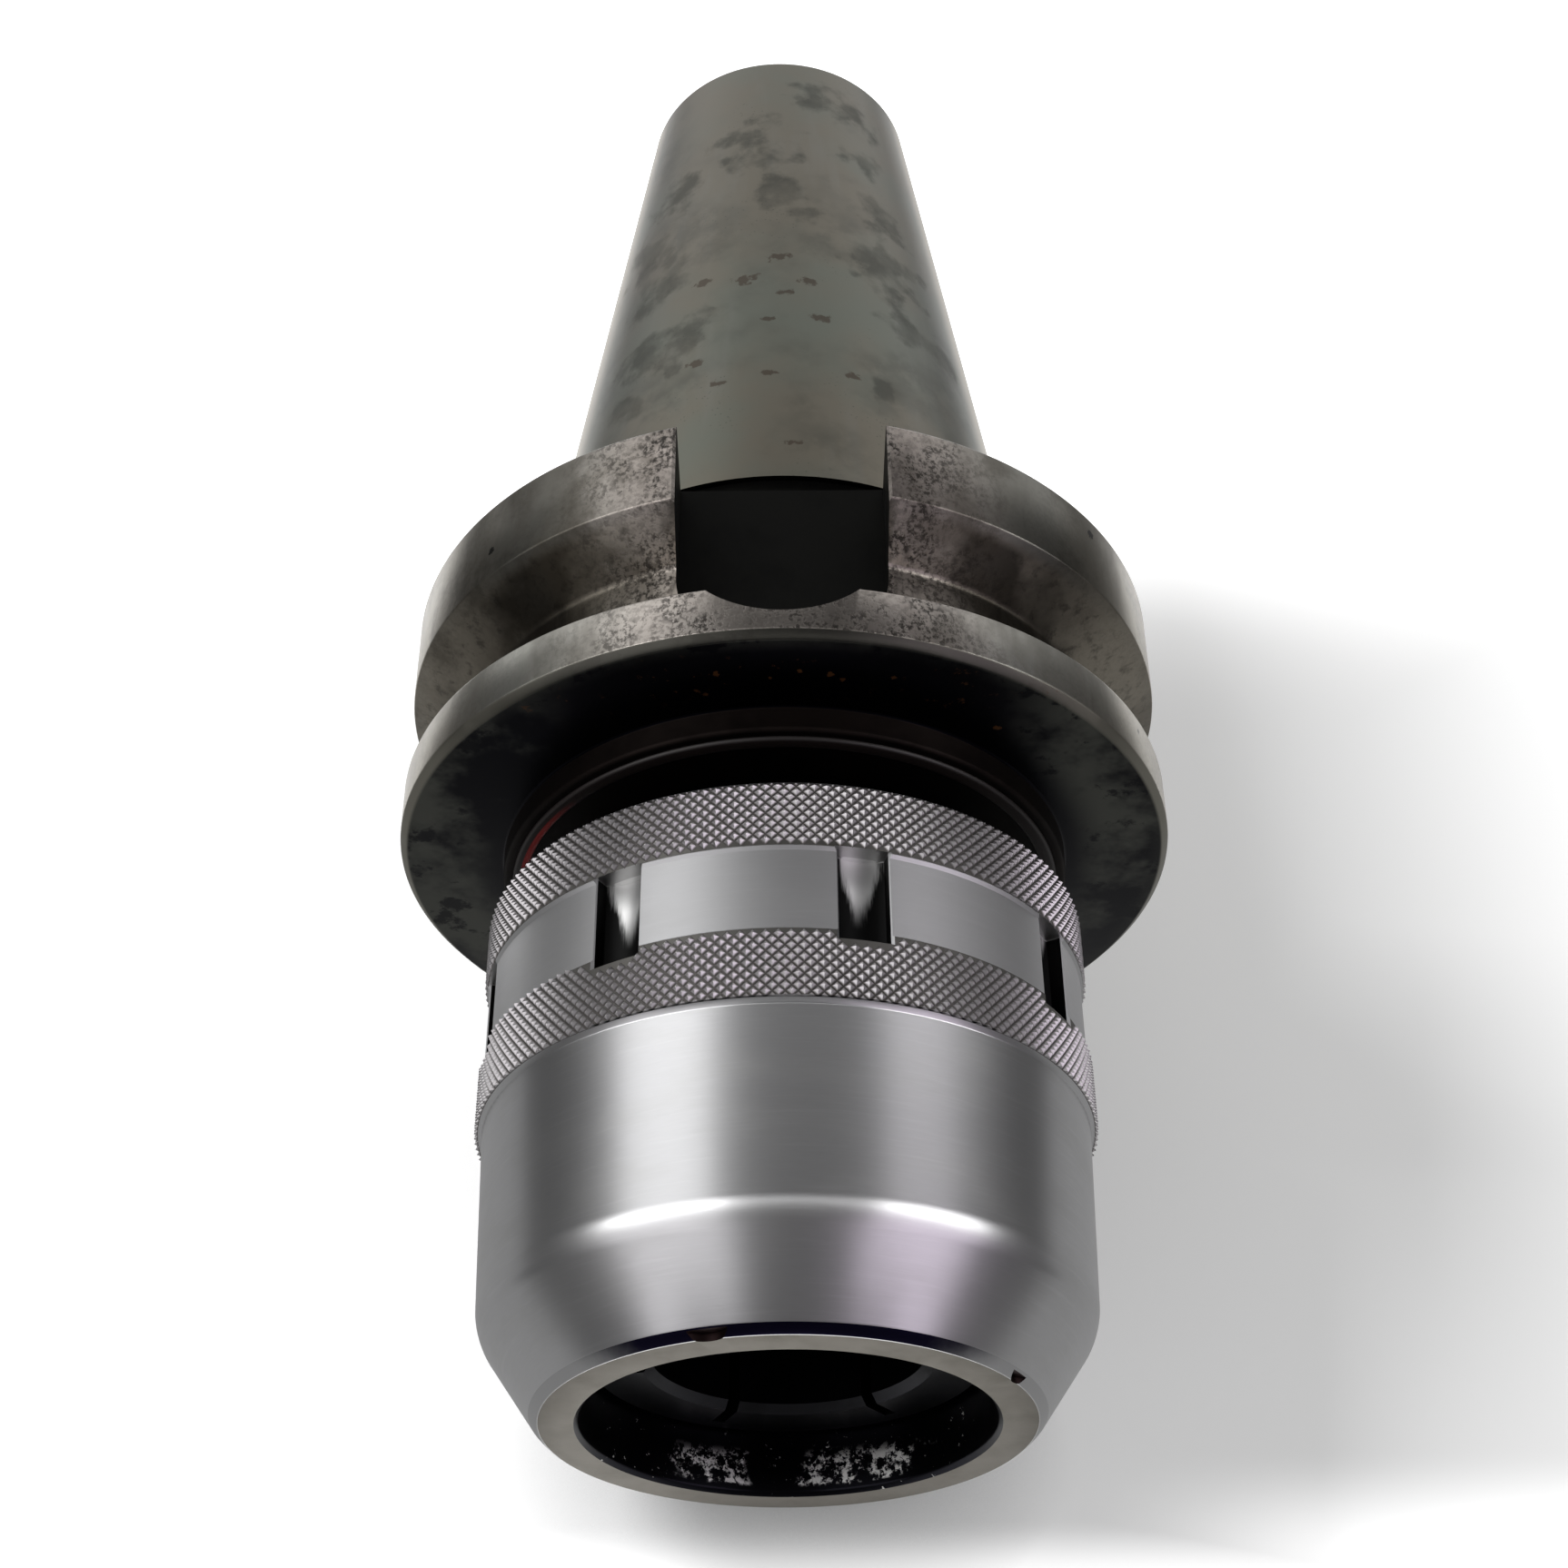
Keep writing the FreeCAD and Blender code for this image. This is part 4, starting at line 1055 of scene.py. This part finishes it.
def make_thread(finish):
    """Thread of the pull stud hole, one tooth swept up in a screw."""
    turns = int((TAPER_TOP - PILOT_DEPTH - TAP_END) / THREAD_PITCH) - 1
    root = THREAD_RADIUS + 0.02
    flanks = ((root, 0), (root, 0.12), (TAP_RADIUS, 0.44), (TAP_RADIUS, 0.56), (root, 0.88))
    tooth = [(radius, TAP_END + 0.5 + THREAD_PITCH * share) for radius, share in flanks]
    thread = draw_line("pull_stud_thread", tooth, closed=False)
    finish_editing()
    choose(thread)
    bpy.ops.object.modifier_add(type="SCREW")
    sweep = thread.modifiers[-1]
    sweep.axis = "Z"
    sweep.angle = 2 * math.pi
    sweep.screw_offset = THREAD_PITCH * MM
    sweep.iterations = turns
    sweep.steps = 64
    sweep.render_steps = 64
    sweep.use_merge_vertices = True
    bpy.ops.object.modifier_apply(modifier=sweep.name)
    edit(thread)
    merge_points()
    bpy.ops.mesh.normals_make_consistent(inside=True)
    finish_editing()
    smooth(thread, 40)
    thread.data.materials.append(finish)
    return thread


def make_seal(finish):
    """Red seal with a rounded lip, in the underside of the boss."""
    inner = SEAL_RADIUS - SEAL_WIDTH
    corners = [(inner, SEAL_FRONT), (SEAL_RADIUS, SEAL_FRONT), (SEAL_RADIUS, SEAL_BACK), (inner, SEAL_BACK)]
    rounds = [(corner, 0.4, 4) for corner in corners[:2]]
    seal = spin_round(draw_line("rear_seal_dressed", corners, rounds), steps=192)
    smooth(seal, 40)
    seal.data.materials.append(finish)
    return seal


# stage, in metres

BACKDROP_FOOT = 0.0345
BACKDROP_LEAN = 0.222
BACKDROP_FACING = (0, -1, BACKDROP_LEAN)
STRIP_DISTANCE = 0.88


def aim(thing, target):
    thing.rotation_euler = (Vector(target) - thing.location).to_track_quat("-Z", "Y").to_euler()


def place_round(azimuth, distance, height):
    """A place round the axis; azimuth 0 is the front and runs anticlockwise seen from above."""
    turn = math.radians(azimuth)
    return (distance * math.sin(turn), -distance * math.cos(turn), height)


def add_lamp(name, place, width, height, watts, colour, target=(0, 0, 0.1)):
    bpy.ops.object.light_add(type="AREA", location=place)
    lamp = bpy.context.object
    lamp.name = name
    lamp.data.shape = "RECTANGLE"
    lamp.data.size = width
    lamp.data.size_y = height
    lamp.data.energy = watts
    lamp.data.color = colour
    aim(lamp, target)
    return lamp


def one_sided(name, colour, glow, fading=False):
    """Pale surface seen from its front only; glow whitens it for the camera and keeps shadows."""
    made = Finish(name, colour, 1.0, metallic=0.0)
    nodes, links = made.nodes, made.links
    # painted contact shadow: ambient occlusion darkens the colour and the glow close to the object
    hidden = nodes.new("ShaderNodeAmbientOcclusion")
    hidden.samples = 4
    hidden.inputs["Distance"].default_value = 0.016
    near = made.span(hidden.outputs["AO"], 0.35, 1.0)
    strength = glow
    # painted light: with fading, the glow rises toward the right, the top and the foot of the board, so the
    # object's shadow fades out
    if fading:
        right = made.step(made.x, 95 * MM, 150 * MM)
        above = made.step(made.y, 150 * MM, 230 * MM)
        below = made.times(made.step(made.y, 10 * MM, -6 * MM), made.step(made.x, 35 * MM, 75 * MM))
        foot = made.step(made.y, 0.5 * MM, -8 * MM)
        fade = made.larger(made.larger(made.times(right, 0.3), above), made.larger(below, foot))
        strength = made.sum(made.times(fade, 0.5), glow)
    diffuse = nodes.new("ShaderNodeBsdfDiffuse")
    made.feed(diffuse.inputs["Color"], made.mix(near, (0, 0, 0), colour))
    emission = nodes.new("ShaderNodeEmission")
    made.feed(emission.inputs["Strength"], made.times(near, strength))
    add = nodes.new("ShaderNodeAddShader")
    clear = nodes.new("ShaderNodeBsdfTransparent")
    choice = nodes.new("ShaderNodeMixShader")
    geometry = nodes.new("ShaderNodeNewGeometry")
    links.new(diffuse.outputs[0], add.inputs[0])
    links.new(emission.outputs[0], add.inputs[1])
    links.new(geometry.outputs["Backfacing"], choice.inputs[0])
    links.new(add.outputs[0], choice.inputs[1])
    links.new(clear.outputs[0], choice.inputs[2])
    links.new(choice.outputs[0], nodes["Material Output"].inputs[0])
    nodes.remove(made.shader)
    return made.material


def add_board(name, place, facing, width, height, material):
    """A flat board whose front looks along facing."""
    finish_editing()
    bpy.ops.mesh.primitive_plane_add(size=1, location=place)
    board = bpy.context.object
    board.name = name
    board.rotation_euler = Vector(facing).to_track_quat("Z", "Y").to_euler()
    board.scale = (width, height, 1)
    bpy.ops.object.transform_apply(location=False, rotation=False, scale=True)
    board.data.materials.append(material)
    return board


def card_finish(name, level):
    """Even grey that polished metal mirrors."""
    material = bpy.data.materials.new(name)
    material.use_nodes = True
    material.cycles.emission_sampling = "NONE"
    nodes = material.node_tree.nodes
    nodes.clear()
    output = nodes.new("ShaderNodeOutputMaterial")
    emission = nodes.new("ShaderNodeEmission")
    emission.inputs["Color"].default_value = (level, level, level, 1)
    material.node_tree.links.new(emission.outputs[0], output.inputs[0])
    return material


def add_card(name, place, facing, width, height, level):
    """A card that shows only in polished metal."""
    card = add_board(name, place, facing, width, height, card_finish(name, level))
    card.visible_camera = False
    card.visible_diffuse = False
    card.visible_shadow = False
    card.visible_transmission = False


def before_backdrop(across, height, gap=0.0):
    """A place at a height in front of the leaning backdrop."""
    return (across, BACKDROP_FOOT + BACKDROP_LEAN * height - gap, height)


# name, distance to each side, height, gap to the backdrop, width, length, level
CARDS_BEHIND = (
    ("near", 0.102, -0.37, 0.002, 0.136, 1.0, 0.33),
    ("wide", 0.22, 0.15, 0.003, 0.1, 0.3, 0.32),
    ("back", 0.77, 0.2, 0.002, 1.2, 2.4, 0.07),
)


def add_cards():
    """Dark cards round the lamps and below, and grey ones close behind the nut."""
    add_card("card_front", (0, -1.35, 0.1), (0, 1, 0), 2.7, 3.6, 0.08)
    add_card("card_left", (-1.35, -0.35, -0.2), (1, 0, 0), 2.0, 3.0, 0.06)
    add_card("card_right", (1.35, -0.35, -0.2), (-1, 0, 0), 2.0, 3.0, 0.05)
    add_card("card_below", (0, 0, -0.35), (0, 0, 1), 0.6, 0.6, 0.05)
    for side_name, side in (("left", -1), ("right", 1)):
        for name, across, height, gap, width, length, level in CARDS_BEHIND:
            add_card("card_" + name + "_" + side_name, before_backdrop(side * across, height, gap),
                     BACKDROP_FACING, width, length, level)


def add_floor():
    pale = one_sided("floor_pale", (0.80, 0.80, 0.80), 0.42)
    floor = add_board("floor", (0, 0, -0.05 * MM), (0, 0, 1), 4, 4, pale)
    floor.visible_shadow = False
    floor.visible_glossy = False
    floor.visible_diffuse = False


def add_backdrop():
    """White board that leans on the flange and passes close behind the nose."""
    pale = one_sided("backdrop_pale", (0.80, 0.80, 0.80), 0.27, fading=True)
    backdrop = add_board("backdrop", before_backdrop(0, 0), BACKDROP_FACING, 6, 6, pale)
    backdrop.visible_shadow = False
    backdrop.visible_diffuse = False


# name, azimuth, height, width, length, glow, colour
STRIP_LAMPS = (
    ("lamp_left_high", -43, 0.70, 0.54, 1.1, 1.08, (1.0, 1.0, 1.0)),
    ("lamp_left_middle", -43, 0.03, 0.74, 0.22, 3.6, (1.0, 1.0, 1.0)),
    ("lamp_left_low", -45, -0.55, 0.76, 0.9, 1.05, (1.0, 0.98, 1.0)),
    ("lamp_front_middle", 2, 0.02, 0.80, 0.16, 0.9, (1.0, 1.0, 1.0)),
    ("lamp_right_high", 48, 0.70, 0.40, 1.1, 0.30, (0.98, 0.92, 1.0)),
    ("lamp_right_middle", 51, 0.03, 0.62, 0.22, 3.6, (1.0, 1.0, 1.0)),
    ("lamp_right_low", 51, -0.55, 0.66, 0.9, 1.05, (0.97, 0.86, 1.0)),
)


def light_room():
    """Dim room that looks white to the camera, strip lamps for reflections and a lamp for the shadow."""
    world = bpy.data.worlds.new("room")
    bpy.context.scene.world = world
    world.use_nodes = True
    nodes = world.node_tree.nodes
    links = world.node_tree.links
    nodes.clear()
    output = nodes.new("ShaderNodeOutputWorld")
    path = nodes.new("ShaderNodeLightPath")
    seen = path.outputs["Is Camera Ray"]
    for kind in ("Is Glossy Ray", "Is Transmission Ray"):
        either = nodes.new("ShaderNodeMath")
        either.operation = "MAXIMUM"
        links.new(seen, either.inputs[0])
        links.new(path.outputs[kind], either.inputs[1])
        seen = either.outputs[0]
    choice = nodes.new("ShaderNodeMixShader")
    links.new(seen, choice.inputs[0])
    for number, strength in ((1, 0.4), (2, 1.0)):
        white = nodes.new("ShaderNodeBackground")
        white.inputs["Color"].default_value = (1, 1, 1, 1)
        white.inputs["Strength"].default_value = strength
        links.new(white.outputs[0], choice.inputs[number])
    links.new(choice.outputs[0], output.inputs[0])
    for name, azimuth, height, width, length, glow, colour in STRIP_LAMPS:
        watts = glow * math.pi * width * length
        strip = add_lamp(name, place_round(azimuth, STRIP_DISTANCE, height), width, length, watts,
                         colour, (0, 0, height))
        strip.visible_diffuse = False
    shade = add_lamp("lamp_shade", place_round(-44, 0.92, 0.42), 0.42, 0.42, 8.6, (1.0, 1.0, 1.0),
                     (0, 0, 0.08))
    shade.visible_glossy = False


def set_camera():
    """Camera of the photograph: in front, below the nose and looking up along the chuck."""
    bpy.ops.object.camera_add(location=(0, -0.25614, -0.08990))
    camera = bpy.context.object
    camera.name = "camera"
    camera.data.sensor_width = 36
    camera.data.lens = 53.26
    camera.data.shift_y = 0.0187
    camera.data.clip_start = 0.01
    tilt = 0.59693
    roll = -0.00715
    camera.matrix_world = (Matrix.Translation(camera.location) @ Matrix.Rotation(math.pi / 2 + tilt, 4, "X")
                           @ Matrix.Rotation(roll, 4, "Z"))
    bpy.context.scene.camera = camera


bpy.context.scene.view_settings.view_transform = "Standard"

taper = taper_finish()
flange = flange_finish()
underside = underside_finish()
# the boss is near black: oil and painted shade between the flange and the nut
boss = plain_steel("boss_oily_and_shaded", (0.013, 0.010, 0.009), (0.005, 0.004, 0.004), 0.5)
# near black for the key slots; on the neck it carries painted shade with black oxide
key_slot = plain_steel("key_slot_dark", (0.012, 0.012, 0.011), (0.006, 0.006, 0.006), 0.55)
bore = plain_steel("bore_dark", (0.018, 0.018, 0.020), (0.009, 0.009, 0.009), 0.36)
nut_satin = nut_finish()
nose = nose_finish()
mouth = mouth_finish()
knurl = knurl_finish()
knurl_root = plain_steel("knurl_root", (0.16, 0.155, 0.145), (0.06, 0.058, 0.05), 0.5)
slot_shade_highlight_and_wear = slot_finish()
edge_painted_dark_front = edge_finish()
nick_dark = plain_steel("nick_dark", (0.03, 0.018, 0.018), (0.012, 0.008, 0.009), 0.4)
red_rubber = seal_finish()
black_rubber = rubber_finish("wiper_black", (0.03, 0.03, 0.03), (0.06, 0.06, 0.055))
brass = plain_steel("cage_brass", (0.62, 0.46, 0.20), (0.35, 0.24, 0.10), 0.35)
roller_steel = plain_steel("roller_bright", (0.72, 0.72, 0.72), (0.45, 0.45, 0.45), 0.2)
spring = plain_steel("spring_blued", (0.22, 0.22, 0.24), (0.08, 0.08, 0.09), 0.35)

arbor = make_arbor({"taper": taper, "flange": flange, "underside": underside, "boss": boss,
                    "key slot": key_slot, "bore": bore})
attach(arbor, "arbor")
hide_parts("arbor")

thread = make_thread(bore)
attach(thread, "arbor")

seal = make_seal(red_rubber)
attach(seal, "arbor")
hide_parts("rear_seal_ring")

nut = make_nut({"satin": nut_satin, "nose": nose, "mouth": mouth, "knurl root": knurl_root,
                "slot": slot_shade_highlight_and_wear, "nick": nick_dark, "edge": edge_painted_dark_front})
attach(nut, "nut")
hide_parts("clamping_nut")

for name, heights in (("knurl_front", FRONT_KNURL), ("knurl_rear", REAR_KNURL)):
    band = make_knurl(name, *heights, knurl)
    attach(band, "nut")

for node, finish in (("front_wiper_ring", black_rubber), ("sleeve_stop_ring", spring),
                     ("nut_retaining_ring", spring), ("roller_cage", brass)):
    frame["nodes"][node].data.materials.clear()
    frame["nodes"][node].data.materials.append(finish)
for node, piece in frame["nodes"].items():
    if node.startswith("needle_roller"):
        piece.data.materials.clear()
        piece.data.materials.append(roller_steel)

light_room()
add_floor()
add_backdrop()
add_cards()
set_camera()
